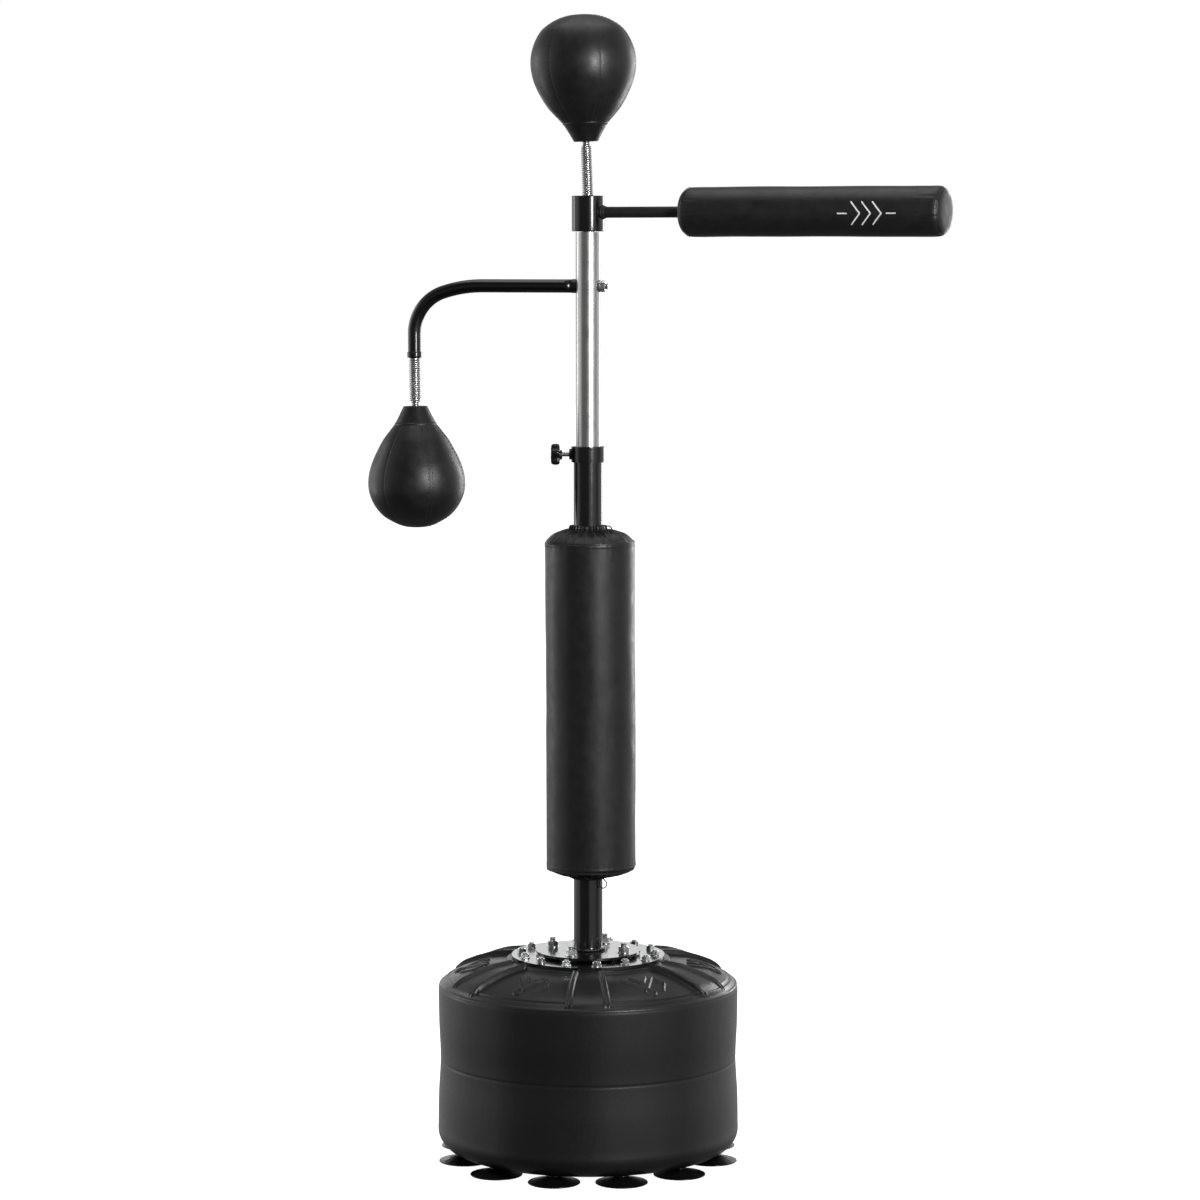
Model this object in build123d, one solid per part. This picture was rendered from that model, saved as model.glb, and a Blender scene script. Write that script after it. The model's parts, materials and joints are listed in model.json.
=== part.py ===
from build123d import *
import os
from math import cos, pi, radians, sin, tan

# Freestanding boxing stand. Millimetres, +Z up, origin on the column's axis at floor level.
# -Y is the front. The clamp knob points to -X.

# ---- base tank ----
TANK_R = 250.0
TANK_WAIST_R = 246.0
TANK_SHOULDER_R = 244.0
TANK_BOTTOM_Z = 13.0
TANK_WAIST_Z = 165.0
TANK_WALL_TOP_Z = 277.0
TANK_SHOULDER_Z = 291.0
TANK_PLATEAU_R = 128.0
TANK_PLATEAU_Z = 332.0
TANK_WALL = 5.0
TANK_CORNER = 34.0
BOSS_R = 124.0
BOSS_THICK = 18.0
RIB_COUNT = 6
RIB_RISE = 3.0
RIB_INNER_HALF = 25.0
RIB_OUTER_HALF = 36.0
RIB_INNER_R = 129.0
RIB_OUTER_R = 241.0
FILLER_Y = 188.0
FILLER_R = 15.0
FILLER_NECK_R = 19.0
FILLER_NECK_TOP = 334.0
CAP_R = 24.0
CAP_HEIGHT = 11.0

# ---- suction cups ----
CUP_COUNT = 12
CUP_RING_R = 211.0
CUP_R = 42.5
CUP_NECK_R = 11.0
CUP_SCREW_R = 3.0
CUP_SCREW_TOP = 24.0

# ---- plates and their fasteners ----
PLATE_R = 127.0
PLATE_TOP = 337.0
PLATE_THICK = 3.5
PLATE_BORE_R = 30.0
NUT_RING_R = 111.0
NUT_COUNT = 14
NUT_START = 7.3
STUD_R = 4.0
STUD_BOTTOM = 321.0
FLANGE_R = 86.5
FLANGE_TOP = 344.5
FLANGE_THICK = 4.0
FLANGE_BOLT_RING_R = 65.0
FLANGE_BOLT_COUNT = 4
FLANGE_BOLT_START = -25.0
FLANGE_STUD_R = 5.0

# ---- column and clamp ----
COLUMN_R = 24.0
COLUMN_BORE_R = 22.0
COLUMN_TOP = 1178.0
COLLAR_R = 28.0
COLLAR_BOTTOM = 1155.0
COLLAR_TOP = 1181.0
BUSH_BOTTOM = 1100.0
CLAMP_Z = 1168.0
SCREW_R = 4.0
KNOB_INNER_X = -46.0
KNOB_OUTER_X = -61.5
SCREW_END = 58.0

# ---- padded bag ----
BAG_X = 4.0
BAG_R = 74.5
BAG_SKIN = 2.0
BAG_DOME_R = 60.0
BAG_NECK_R = 27.5
BAG_TOP = 1048.0
BAG_SHOULDER = 1022.0
BAG_FLOOR = 482.0
BAG_BOTTOM = 466.0
BAG_BORE_R = 24.3
STRING_R = 1.0
STRING_RING_R = 26.5

# ---- mast ----
MAST_R = 20.0
MAST_BORE_R = 18.0
MAST_BOTTOM = 920.0
MAST_TOP = 1531.0
FOOT_TOP = 938.0
MAST_FIT = 0.06

# ---- side arm ----
ARM_TURN = 15.0
ARM_Z = 1443.0
ARM_R = 11.0
ARM_BORE_R = 9.0
ARM_REACH = 298.0
ARM_GENTLE_R = 220.0
ARM_GENTLE_TURN = 18.0
ARM_BEND_R = 72.0
ARM_END_Z = 1326.0
ARM_BOLT_R = 5.0

# ---- spinning hub and reflex bar ----
BAR_TURN = -25.0
HUB_R = 26.5
HUB_BOTTOM = 1532.0
HUB_TOP = 1590.0
SPINDLE_R = 8.5
BEARING_R = 17.5
BEARING_WIDTH = 10.0
BALL_R = 2.5
BALL_RING_R = 13.0
BALLS_PER_BEARING = 8
BEARING_LEVELS = (1538.0, 1574.0)
ROD_Z = 1563.0
ROD_R = 9.0
ROD_BORE_R = 7.2
ROD_END = 600.0
PAD_START = 172.0
PAD_END = 621.5
PAD_R = 40.5
PAD_ROUND = 18.0
PAD_SKIN = 2.0

# ---- springs and balls ----
WIRE_R = 1.5
COIL_PITCH = 3.5
TOP_SPRING_BOTTOM = 1590.0
TOP_SPRING_TOP = 1678.0
TOP_SPRING_R = 8.5
SIDE_SPRING_BOTTOM = 1244.0
SIDE_SPRING_TOP = 1324.0
SIDE_SPRING_R = 9.0
SPRING_NECK_R = 6.0
SPRING_NECK_LENGTH = 9.0
SPRING_LEAN = 2.0
SIDE_LEAN = 0.7
SIDE_DROP = 0.3

# ---- balls ----
TOP_SEAT_Z = 1710.0
SIDE_SEAT_Z = 1212.0
SKIN_SHARE = 0.965
SKIN_LIFT = 2.0
BLADDER_SHARE = 0.94
BLADDER_LIFT = 4.0
BOOT_BORE_R = 6.5
BOLT_R = 4.0
BOLT_LENGTH = 23.0
# Radius and height above the seat, from the pole to the seat.
TOP_BALL_WIDTHS = [(0, 174), (46, 164), (68, 149), (82, 122), (86.5, 95), (81, 64), (63, 28), (38, 0)]
SIDE_BALL_WIDTHS = [(0, 170), (39, 160.5), (59, 147), (74.5, 125), (81, 99), (76, 67), (58, 29), (36, 0)]


def tube(outer_r, inner_r, low, high):
    """A straight round tube on the Z axis."""
    body = Cylinder(outer_r, high - low, align=(Align.CENTER, Align.CENTER, Align.MIN))
    if inner_r:
        body -= Cylinder(inner_r, high - low, align=(Align.CENTER, Align.CENTER, Align.MIN))
    return Pos(0, 0, low) * body


def turned(points):
    """A closed outline of (radius, height) corners turned about the Z axis."""
    face = make_face(Plane.XZ * Polyline(*points, close=True))
    return revolve(face, Axis.Z)


def along(shape, turn, x=0.0, z=0.0):
    """Lays a shape made on +Z along the horizontal direction that is turned from +X."""
    return Rot(0, 0, turn) * Pos(x, 0, z) * Rot(0, 90, 0) * shape


def hexagon(across, low, high, bore_r):
    """A hexagonal nut with its top edges eased and a round hole."""
    prism = extrude(RegularPolygon(across / 2, 6, major_radius=False), high - low)
    ease = turned([(0, 0), (across * 0.56, 0), (across * 0.56, high - low - 1.5),
                   (across * 0.48, high - low), (0, high - low)])
    nut = prism & ease
    if bore_r:
        nut -= tube(bore_r, 0, 0, high - low)
    return Pos(0, 0, low) * nut


def ringed(shape, count, radius, start):
    """Copies of a shape on a ring, the first turned from the front (-Y) towards +X."""
    solids = []
    for index in range(count):
        turn = start + index * 360.0 / count - 90.0
        solids.append(Rot(0, 0, turn) * Pos(radius, 0, 0) * shape)
    return Compound(children=[solid.solids()[0] for solid in solids])


def save(name, shape):
    """Writes one sub-part, with all its solids in one group, to parts/."""
    solids = shape.solids()
    export_step(solids[0] if len(solids) == 1 else Compound(children=list(solids)), f"parts/{name}.step")


# ---- tank ----

def tank_outline(inset, bottom, plateau_drop):
    """Half outline of the tank: flat foot, round corner, waisted wall, shoulder and domed top."""
    corner_r = TANK_CORNER - inset
    wall_r = TANK_R - inset
    corner_mid = corner_r * (1 - cos(radians(45)))
    foot = Line((0, bottom), (wall_r - corner_r, bottom))
    corner = ThreePointArc((wall_r - corner_r, bottom), (wall_r - corner_mid, bottom + corner_mid),
                           (wall_r, bottom + corner_r))
    wall = Spline((wall_r, bottom + corner_r), (TANK_WAIST_R - inset, TANK_WAIST_Z),
                  (wall_r - 1, TANK_WALL_TOP_Z - inset), tangents=[(0, 1), (0, 1)])
    shoulder_top = TANK_SHOULDER_Z - inset
    shoulder = Spline((wall_r - 1, TANK_WALL_TOP_Z - inset), (TANK_SHOULDER_R - inset, shoulder_top),
                      tangents=[(0, 1), (-1, 0.8)])
    plateau_z = TANK_PLATEAU_Z - plateau_drop
    dome = Spline((TANK_SHOULDER_R - inset, shoulder_top), (180 - inset / 2, 325.0 - inset),
                  (TANK_PLATEAU_R, TANK_PLATEAU_Z - inset), tangents=[(-1, 0.8), (-1, 0.05)])
    top = Line((TANK_PLATEAU_R, plateau_z), (0, plateau_z))
    axis = Line((0, plateau_z), (0, bottom))
    edges = [foot, corner, wall, shoulder, dome, top, axis]
    if plateau_drop > inset:
        edges.insert(5, Line((TANK_PLATEAU_R, TANK_PLATEAU_Z - inset), (TANK_PLATEAU_R, plateau_z)))
    return make_face(Plane.XZ * Wire([edge for curve in edges for edge in curve.edges()]))


def rib_blank():
    """A prism over one radial rib along +X, tall enough to pass through the domed top."""
    corners = [(RIB_INNER_R, -RIB_INNER_HALF), (RIB_OUTER_R, -RIB_OUTER_HALF),
               (RIB_OUTER_R, RIB_OUTER_HALF), (RIB_INNER_R, RIB_INNER_HALF)]
    return Pos(0, 0, 270) * extrude(make_face(Polyline(*corners, close=True)), 90)


def water_tank():
    outside = revolve(tank_outline(0, TANK_BOTTOM_Z, 0), Axis.Z)
    raised = Pos(0, 0, RIB_RISE) * outside
    tank = outside
    for index in range(RIB_COUNT):
        tank += raised & (Rot(0, 0, index * 60 + 30) * rib_blank())
    tank += Pos(0, FILLER_Y, 0) * tube(FILLER_NECK_R, 0, 305, FILLER_NECK_TOP)
    inside = revolve(tank_outline(TANK_WALL, TANK_BOTTOM_Z + TANK_WALL, BOSS_THICK), Axis.Z)
    for index in range(CUP_COUNT):
        turn = 15 + index * 360 / CUP_COUNT - 90
        inside -= Rot(0, 0, turn) * Pos(CUP_RING_R, 0, 0) * tube(8, 0, TANK_BOTTOM_Z, CUP_SCREW_TOP + 4)
        tank -= Rot(0, 0, turn) * Pos(CUP_RING_R, 0, 0) * tube(CUP_SCREW_R, 0, TANK_BOTTOM_Z, CUP_SCREW_TOP)
    tank -= inside
    tank -= Pos(0, FILLER_Y, 0) * tube(FILLER_R, 0, 300, FILLER_NECK_TOP)
    for index in range(NUT_COUNT):
        turn = NUT_START + index * 360 / NUT_COUNT - 90
        tank -= Rot(0, 0, turn) * Pos(NUT_RING_R, 0, 0) * tube(STUD_R, 0, STUD_BOTTOM, TANK_PLATEAU_Z)
    return tank


def suction_cup():
    """A rubber cup: flat rim on the floor, hollow below, a short neck up to the tank."""
    cup = turned([(30, 0), (CUP_R, 0), (CUP_R, 1.6), (28, 5.2), (CUP_NECK_R + 2, 8.2), (CUP_NECK_R, 10),
                  (CUP_NECK_R, TANK_BOTTOM_Z), (0, TANK_BOTTOM_Z), (0, 3.6), (10, 3.4)])
    return cup - tube(CUP_SCREW_R, 0, 7, TANK_BOTTOM_Z)


def filler_cap():
    """Screw cap with grip notches, seated on its gasket."""
    low = FILLER_NECK_TOP + 1.5
    cap = tube(CAP_R, 0, low, low + CAP_HEIGHT - 3) + tube(CAP_R - 4, 0, low, low + CAP_HEIGHT)
    for index in range(12):
        cap -= Rot(0, 0, index * 30) * Pos(CAP_R + 1.2, 0, 0) * tube(2.5, 0, low, low + CAP_HEIGHT)
    stem = tube(FILLER_R - 0.4, FILLER_R - 3, FILLER_NECK_TOP - 10, low)
    return Pos(0, FILLER_Y, 0) * (cap + stem)


def base_pieces():
    save("water_tank", water_tank())
    save("suction_cups", ringed(suction_cup(), CUP_COUNT, CUP_RING_R, 15))
    save("cup_screws", ringed(tube(CUP_SCREW_R, 0, 7, CUP_SCREW_TOP), CUP_COUNT, CUP_RING_R, 15))
    gasket_ring = tube(FILLER_NECK_R, FILLER_R - 0.3, FILLER_NECK_TOP + 0.1, FILLER_NECK_TOP + 1.4)
    save("filler_gasket", Pos(0, FILLER_Y, 0) * gasket_ring)
    save("filler_cap", filler_cap())


# ---- plates ----

def drilled_disc(radius, bore_r, low, high, hole_r, count, ring_r, start):
    disc = tube(radius, bore_r, low, high)
    for index in range(count):
        turn = start + index * 360 / count - 90
        disc -= Rot(0, 0, turn) * Pos(ring_r, 0, 0) * tube(hole_r, 0, low, high)
    return disc


def plate_pieces():
    plate_bottom = PLATE_TOP - PLATE_THICK
    gasket = drilled_disc(PLATE_R - 1, PLATE_BORE_R, TANK_PLATEAU_Z, plate_bottom, STUD_R, NUT_COUNT,
                          NUT_RING_R, NUT_START)
    save("plate_gasket", gasket)
    plate = drilled_disc(PLATE_R, PLATE_BORE_R, plate_bottom, PLATE_TOP, STUD_R, NUT_COUNT,
                         NUT_RING_R, NUT_START)
    plate -= ringed(tube(FLANGE_STUD_R, 0, plate_bottom, PLATE_TOP), FLANGE_BOLT_COUNT,
                    FLANGE_BOLT_RING_R, FLANGE_BOLT_START)
    save("base_plate", plate)
    washer_top = PLATE_TOP + 1.2
    nut_top = washer_top + 5.8
    save("plate_washers", ringed(tube(8, STUD_R, PLATE_TOP, washer_top), NUT_COUNT, NUT_RING_R, NUT_START))
    save("plate_nuts", ringed(hexagon(13, washer_top, nut_top, STUD_R), NUT_COUNT, NUT_RING_R, NUT_START))
    save("plate_studs", ringed(tube(STUD_R, 0, STUD_BOTTOM, nut_top + 2), NUT_COUNT, NUT_RING_R, NUT_START))
    flange_pieces(plate_bottom)


def flange_pieces(plate_bottom):
    flange_bottom = FLANGE_TOP - FLANGE_THICK
    ring = (FLANGE_BOLT_COUNT, FLANGE_BOLT_RING_R, FLANGE_BOLT_START)
    flange = turned([(COLUMN_R, flange_bottom), (FLANGE_R, flange_bottom), (FLANGE_R, FLANGE_TOP),
                     (COLUMN_R + 5, FLANGE_TOP), (COLUMN_R + 1.5, FLANGE_TOP + 2),
                     (COLUMN_R, FLANGE_TOP + 6)])
    flange -= ringed(tube(FLANGE_STUD_R, 0, flange_bottom, FLANGE_TOP), *ring)
    save("column_flange", flange)
    save("damping_washers", ringed(tube(13, FLANGE_STUD_R, PLATE_TOP, flange_bottom), *ring))
    washer_top = FLANGE_TOP + 1.8
    nut_top = washer_top + 8
    save("flange_washers", ringed(tube(10, FLANGE_STUD_R, FLANGE_TOP, washer_top), *ring))
    save("flange_nuts", ringed(hexagon(17, washer_top, nut_top, FLANGE_STUD_R), *ring))
    save("flange_studs", ringed(tube(FLANGE_STUD_R, 0, plate_bottom, nut_top + 6), *ring))


# ---- column ----

def clamp_hole(radius):
    """A round cutter along -X at the clamp screw's height."""
    return along(tube(radius, 0, 10, 40), 180, 0, CLAMP_Z)


def knob_head():
    """A five-lobed hand knob on -X."""
    thick = KNOB_INNER_X - KNOB_OUTER_X
    knob = tube(13, 0, 0, thick)
    for index in range(5):
        knob += Rot(0, 0, index * 72) * Pos(12.5, 0, 0) * tube(6.5, 0, 2, thick - 1)
    knob += tube(8, 0, -4, 0)
    knob -= tube(SCREW_R, 0, -4, SCREW_END + KNOB_INNER_X)
    return along(knob, 180, -KNOB_INNER_X, CLAMP_Z)


def column_pieces():
    flange_bottom = FLANGE_TOP - FLANGE_THICK
    column = tube(COLUMN_R, COLUMN_BORE_R, flange_bottom, COLUMN_TOP) - clamp_hole(SCREW_R + 1)
    save("column_tube", column)
    collar = tube(COLLAR_R, MAST_R + 0.5, COLLAR_BOTTOM, COLLAR_TOP)
    collar -= tube(COLUMN_R, 0, COLLAR_BOTTOM, COLUMN_TOP)
    collar += along(tube(9, 0, COLLAR_R - 3, 31), 180, 0, CLAMP_Z)
    collar -= tube(COLUMN_R, 0, COLLAR_BOTTOM, COLUMN_TOP)
    nut_pocket = along(Rot(0, 0, 30) * hexagon(13, 26, 31, 0), 180, 0, CLAMP_Z)
    collar = collar - clamp_hole(SCREW_R + 1) - nut_pocket
    save("clamp_collar", collar)
    weld_nut = along(Rot(0, 0, 30) * hexagon(12.8, 26.2, 31, SCREW_R + 0.04), 180, 0, CLAMP_Z)
    save("clamp_nut", weld_nut)
    bush = tube(COLUMN_BORE_R, MAST_R + MAST_FIT, BUSH_BOTTOM, COLUMN_TOP) - clamp_hole(SCREW_R + 1)
    save("column_bush", bush)
    save("clamp_screw", along(tube(SCREW_R, 0, 23, SCREW_END), 180, 0, CLAMP_Z))
    save("clamp_knob", knob_head())
    save("clamp_pad", along(tube(3.8, 0, 20.4, 22.98), 180, 0, CLAMP_Z))


# ---- padded bag ----

def bag_pieces():
    """Foam sleeve, sewn cover and two drawstrings. Both are cleared for the column's tube."""
    cover_blank = turned([(0, BAG_TOP), (BAG_NECK_R + 2, BAG_TOP), (BAG_NECK_R + 4, BAG_TOP - 6),
                          (BAG_DOME_R, BAG_SHOULDER + 13), (BAG_R - 4, BAG_SHOULDER + 5),
                          (BAG_R, BAG_SHOULDER), (BAG_R, BAG_FLOOR), (BAG_R - 4, BAG_FLOOR - 5),
                          (BAG_DOME_R, BAG_FLOOR - 11), (BAG_NECK_R + 4, BAG_BOTTOM + 3),
                          (BAG_NECK_R + 1, BAG_BOTTOM), (0, BAG_BOTTOM)])
    foam_r = BAG_R - BAG_SKIN
    foam_blank = turned([(0, BAG_SHOULDER + 2), (BAG_DOME_R, BAG_SHOULDER + 2),
                         (foam_r - 4, BAG_SHOULDER - 1), (foam_r, BAG_SHOULDER - 4),
                         (foam_r, BAG_FLOOR + 4), (foam_r - 4, BAG_FLOOR + 1), (0, BAG_FLOOR + 1)])
    foam = Pos(BAG_X, 0, 0) * foam_blank
    bore = tube(BAG_BORE_R, 0, BAG_BOTTOM, BAG_TOP)
    save("bag_foam", foam - bore)
    save("bag_cover", Pos(BAG_X, 0, 0) * cover_blank - foam - bore)
    ring = Torus(STRING_RING_R, STRING_R)
    save("bag_top_string", Pos(0, 0, BAG_TOP + STRING_R) * ring)
    save("bag_bottom_string", Pos(0, 0, BAG_BOTTOM - STRING_R) * ring)


def string_tube(name, route, radii):
    """One loose end of a drawstring: straight runs joined by arcs."""
    path = FilletPolyline(*route, radius=radii)
    section = Plane(origin=path @ 0, z_dir=path % 0) * Circle(STRING_R)
    print(name, "length", round(path.length, 1), "radii", radii)
    save(name, sweep(section, path))


def bend_radii(route):
    """For each inner corner, 0.45 of the shorter run over the tangent of half the turn."""
    radii = []
    for before, corner, after in zip(route, route[1:], route[2:]):
        first = Vector(*corner) - Vector(*before)
        second = Vector(*after) - Vector(*corner)
        turn = radians(first.get_angle(second))
        radii.append(0.45 * min(first.length, second.length) / tan(turn / 2))
    return radii


TAIL_ROUTE = [(26.3, -6, 1049), (31, -9.5, 1050.5), (35.5, -14, 1050.5), (38.5, -19.5, 1048),
              (39.5, -25.5, 1044.5), (38.5, -31, 1041.5)]
LOOP_ROUTE = [(20.9, -16.3, 465), (18.1, -19.7, 459.9), (18.9, -20.2, 454), (22.8, -18.3, 450),
              (27.7, -15.1, 450.1), (31.1, -12.5, 454.3), (30.5, -10.9, 460.1), (24.6, -9.9, 465)]


# ---- mast, side arm ----

def arm_point(reach, height):
    """A point in the side arm's own upright plane."""
    turn = radians(180 - ARM_TURN)
    return (reach * cos(turn), reach * sin(turn), height)


def arm_path():
    """Centreline of the side arm: level, a gentle droop, a tighter bend, then straight down."""
    turn = radians(ARM_GENTLE_TURN)
    gentle_x = ARM_GENTLE_R * sin(turn)
    bend_x = ARM_BEND_R * (1 - sin(turn))
    start = ARM_REACH - gentle_x - bend_x
    gentle_z = ARM_Z - ARM_GENTLE_R * (1 - cos(turn))
    leg_top = gentle_z - ARM_BEND_R * cos(turn)
    half = turn / 2
    gentle_mid = (start + ARM_GENTLE_R * sin(half), ARM_Z - ARM_GENTLE_R * (1 - cos(half)))
    bend_angle = (turn + pi / 2) / 2
    bend_centre = (ARM_REACH - ARM_BEND_R, leg_top)
    bend_x_mid = bend_centre[0] + ARM_BEND_R * sin(bend_angle)
    bend_z_mid = bend_centre[1] + ARM_BEND_R * cos(bend_angle)
    first = arm_point(start, ARM_Z)
    second = arm_point(start + gentle_x, gentle_z)
    third = arm_point(ARM_REACH, leg_top)
    level = Line(arm_point(MAST_R + 6, ARM_Z), first)
    gentle = ThreePointArc(first, arm_point(*gentle_mid), second)
    bend = ThreePointArc(second, arm_point(bend_x_mid, bend_z_mid), third)
    leg = Line(third, arm_point(ARM_REACH, ARM_END_Z))
    return Wire([curve.edges()[0] for curve in (level, gentle, bend, leg)])


def across_arm(shape):
    """Lays a shape made on +Z outward along the side arm."""
    return along(shape, 180 - ARM_TURN, 0, ARM_Z)


def across_back(shape):
    """Lays a shape made on +Z outward on the side away from the side arm."""
    return along(shape, -ARM_TURN, 0, ARM_Z)


def mast_pieces():
    bolt_hole = across_arm(tube(ARM_BOLT_R, 0, -30, 30))
    save("mast_tube", tube(MAST_R, MAST_BORE_R, MAST_BOTTOM, MAST_TOP) - bolt_hole)
    foot = tube(COLUMN_BORE_R - MAST_FIT, 0, MAST_BOTTOM - 18, MAST_BOTTOM - 0.3)
    foot += tube(MAST_BORE_R - MAST_FIT, 12, MAST_BOTTOM - 0.3, FOOT_TOP)
    save("mast_foot_bush", foot)
    spindle = tube(MAST_BORE_R, 0, MAST_TOP - 30, MAST_TOP) + tube(SPINDLE_R, 0, MAST_TOP, HUB_TOP - 0.5)
    save("mast_spindle", spindle)
    low_spacer = tube(12, SPINDLE_R, MAST_TOP, BEARING_LEVELS[0])
    middle_spacer = tube(11, SPINDLE_R, BEARING_LEVELS[0] + BEARING_WIDTH, BEARING_LEVELS[1])
    save("bearing_spacers", Compound(children=[low_spacer.solids()[0], middle_spacer.solids()[0]]))
    save("retaining_ring", tube(11.5, SPINDLE_R, BEARING_LEVELS[1] + BEARING_WIDTH, BEARING_LEVELS[1] + 12))


def side_arm_pieces():
    path = arm_path()
    section = Plane(origin=arm_point(MAST_R + 6, ARM_Z), z_dir=Vector(*arm_point(1, 0)))
    arm = sweep(section * Circle(ARM_R), path) - sweep(section * Circle(ARM_BORE_R), path)
    save("side_arm_tube", arm)
    saddle = across_arm(tube(ARM_R + 0.5, ARM_BOLT_R, MAST_R - 6, MAST_R + 6))
    saddle += across_arm(tube(ARM_BORE_R, ARM_BOLT_R, MAST_R, MAST_R + 26))
    saddle -= tube(MAST_R, 0, ARM_Z - 40, ARM_Z + 40)
    save("side_arm_saddle", saddle)
    bolt = across_arm(tube(ARM_BOLT_R, 0, -35, MAST_R + 26))
    bolt += across_arm(tube(8.5, 0, MAST_R + 26, MAST_R + 32))
    save("side_arm_bolt", bolt)
    washer = across_back(tube(10, ARM_BOLT_R, MAST_R - 4, MAST_R + 2))
    washer -= tube(MAST_R, 0, ARM_Z - 40, ARM_Z + 40)
    save("side_arm_washer", washer)
    save("side_arm_nut", across_back(hexagon(17, MAST_R + 2, MAST_R + 10, ARM_BOLT_R)))
    end_x, end_y, end_z = arm_point(ARM_REACH, ARM_END_Z)
    cap = tube(12.2, ARM_R, 0, 8) + tube(12.2, 3, -2, 0)
    save("side_arm_cap", Pos(end_x, end_y, end_z) * cap)


# ---- hub and reflex bar ----

def on_bar(shape):
    """Lays a shape made on +Z outward along the reflex bar."""
    return along(shape, BAR_TURN, 0, ROD_Z)


def bearing_rings(outer_r, inner_r):
    return Compound(children=[tube(outer_r, inner_r, low, low + BEARING_WIDTH).solids()[0]
                              for low in BEARING_LEVELS])


def groove_cutters():
    return [Pos(0, 0, low + BEARING_WIDTH / 2) * Torus(BALL_RING_R, BALL_R + 0.02) for low in BEARING_LEVELS]


def bearing_pieces():
    inner = bearing_rings(BALL_RING_R - 1.2, SPINDLE_R)
    outer = bearing_rings(BEARING_R, BALL_RING_R + 1.2)
    for cutter in groove_cutters():
        inner -= cutter
        outer -= cutter
    save("bearing_inner_rings", inner)
    save("bearing_outer_rings", outer)
    balls = []
    cages = []
    for low in BEARING_LEVELS:
        middle = low + BEARING_WIDTH / 2
        cage = tube(BALL_RING_R + 0.7, BALL_RING_R - 0.7, middle - 3.4, middle + 3.4)
        for index in range(BALLS_PER_BEARING):
            place = Rot(0, 0, index * 360 / BALLS_PER_BEARING) * Pos(BALL_RING_R, 0, middle)
            balls.append((place * Sphere(BALL_R)).solids()[0])
            cage -= place * Rot(0, 90, 0) * Cylinder(BALL_R + 0.1, 6)
        cages.append(cage.solids()[0])
    save("bearing_balls", Compound(children=balls))
    save("bearing_cages", Compound(children=cages))


def hub_shell():
    """The spinning sleeve: two bearing seats, an open top ring and a socket for the rod."""
    outline = [(18.5, HUB_BOTTOM), (HUB_R, HUB_BOTTOM), (HUB_R, HUB_TOP - 2), (HUB_R - 2, HUB_TOP),
               (13, HUB_TOP), (13, HUB_TOP - 2.5), (BEARING_R, HUB_TOP - 2.5),
               (BEARING_R, BEARING_LEVELS[1]), (15.5, BEARING_LEVELS[1]),
               (15.5, BEARING_LEVELS[0] + BEARING_WIDTH), (BEARING_R, BEARING_LEVELS[0] + BEARING_WIDTH),
               (BEARING_R, BEARING_LEVELS[0]), (18.5, BEARING_LEVELS[0])]
    hub = turned(outline)
    flare = turned([(0, 22), (ROD_R + 5, 22), (ROD_R + 5, 26), (ROD_R + 1, 31), (ROD_R, 35), (0, 35)])
    hub += on_bar(flare) - tube(22, 0, HUB_BOTTOM, HUB_TOP)
    return hub - on_bar(tube(ROD_R, 0, HUB_R - 5, 60))


def pad_outline(grow, trim):
    """Half outline of the reflex bar's pad, with rounded ends."""
    radius = PAD_R - grow
    start = PAD_START + trim
    end = PAD_END - trim
    round_r = PAD_ROUND
    nip = round_r * (1 - cos(radians(45)))
    bottom = Line((ROD_R, start), (radius - round_r, start))
    first = ThreePointArc((radius - round_r, start), (radius - nip, start + nip), (radius, start + round_r))
    side = Line((radius, start + round_r), (radius, end - round_r))
    second = ThreePointArc((radius, end - round_r), (radius - nip, end - nip), (radius - round_r, end))
    top = Line((radius - round_r, end), (0, end))
    axis = Line((0, end), (0, start))
    back = Line((0, start), (ROD_R, start))
    curves = (bottom, first, side, second, top, axis, back)
    return make_face(Plane.XZ * Wire([curve.edges()[0] for curve in curves]))


def bar_pieces():
    save("hub_shell", hub_shell())
    save("bar_rod", on_bar(tube(ROD_R, ROD_BORE_R, HUB_R - 5, ROD_END)))
    plug = tube(ROD_BORE_R, 0, ROD_END - 15, ROD_END) + tube(ROD_R, 0, ROD_END, ROD_END + 4)
    save("rod_end_plug", on_bar(plug))
    core = tube(ROD_R, 0, PAD_START - 5, ROD_END + 4)
    foam = revolve(pad_outline(PAD_SKIN, PAD_SKIN), Axis.Z)
    cover = revolve(pad_outline(0, 0), Axis.Z) - foam
    save("bar_foam", on_bar(foam - core))
    save("bar_cover", on_bar(cover - core))


# ---- springs and balls ----

def spring_coil(bottom, top, outer_r, neck_at_top):
    """A close spring: full coils, then a few narrow ones at the end that holds the ball."""
    neck_low = top - SPRING_NECK_LENGTH if neck_at_top else bottom
    neck_high = top if neck_at_top else bottom + SPRING_NECK_LENGTH
    coil_low = bottom if neck_at_top else neck_high
    coil_high = neck_low if neck_at_top else top
    joint = neck_low if neck_at_top else neck_high
    step = tube(outer_r - WIRE_R, SPRING_NECK_R - 2 * WIRE_R, joint - 1, joint + 1)
    return coil_stack(coil_low, coil_high, outer_r) + step + coil_stack(neck_low, neck_high, SPRING_NECK_R)


def coil_stack(low, high, outer_r):
    """The outer shape of close coils: a sleeve with a round ridge for each turn."""
    centre_r = outer_r - WIRE_R
    count = round((high - low) / COIL_PITCH)
    pitch = (high - low) / count
    stack = tube(centre_r + 0.3, centre_r - 1.2, low, high)
    for index in range(count):
        ridge = Pos(0, 0, low + (index + 0.5) * pitch) * Torus(centre_r, WIRE_R)
        stack += ridge
    return stack


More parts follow.
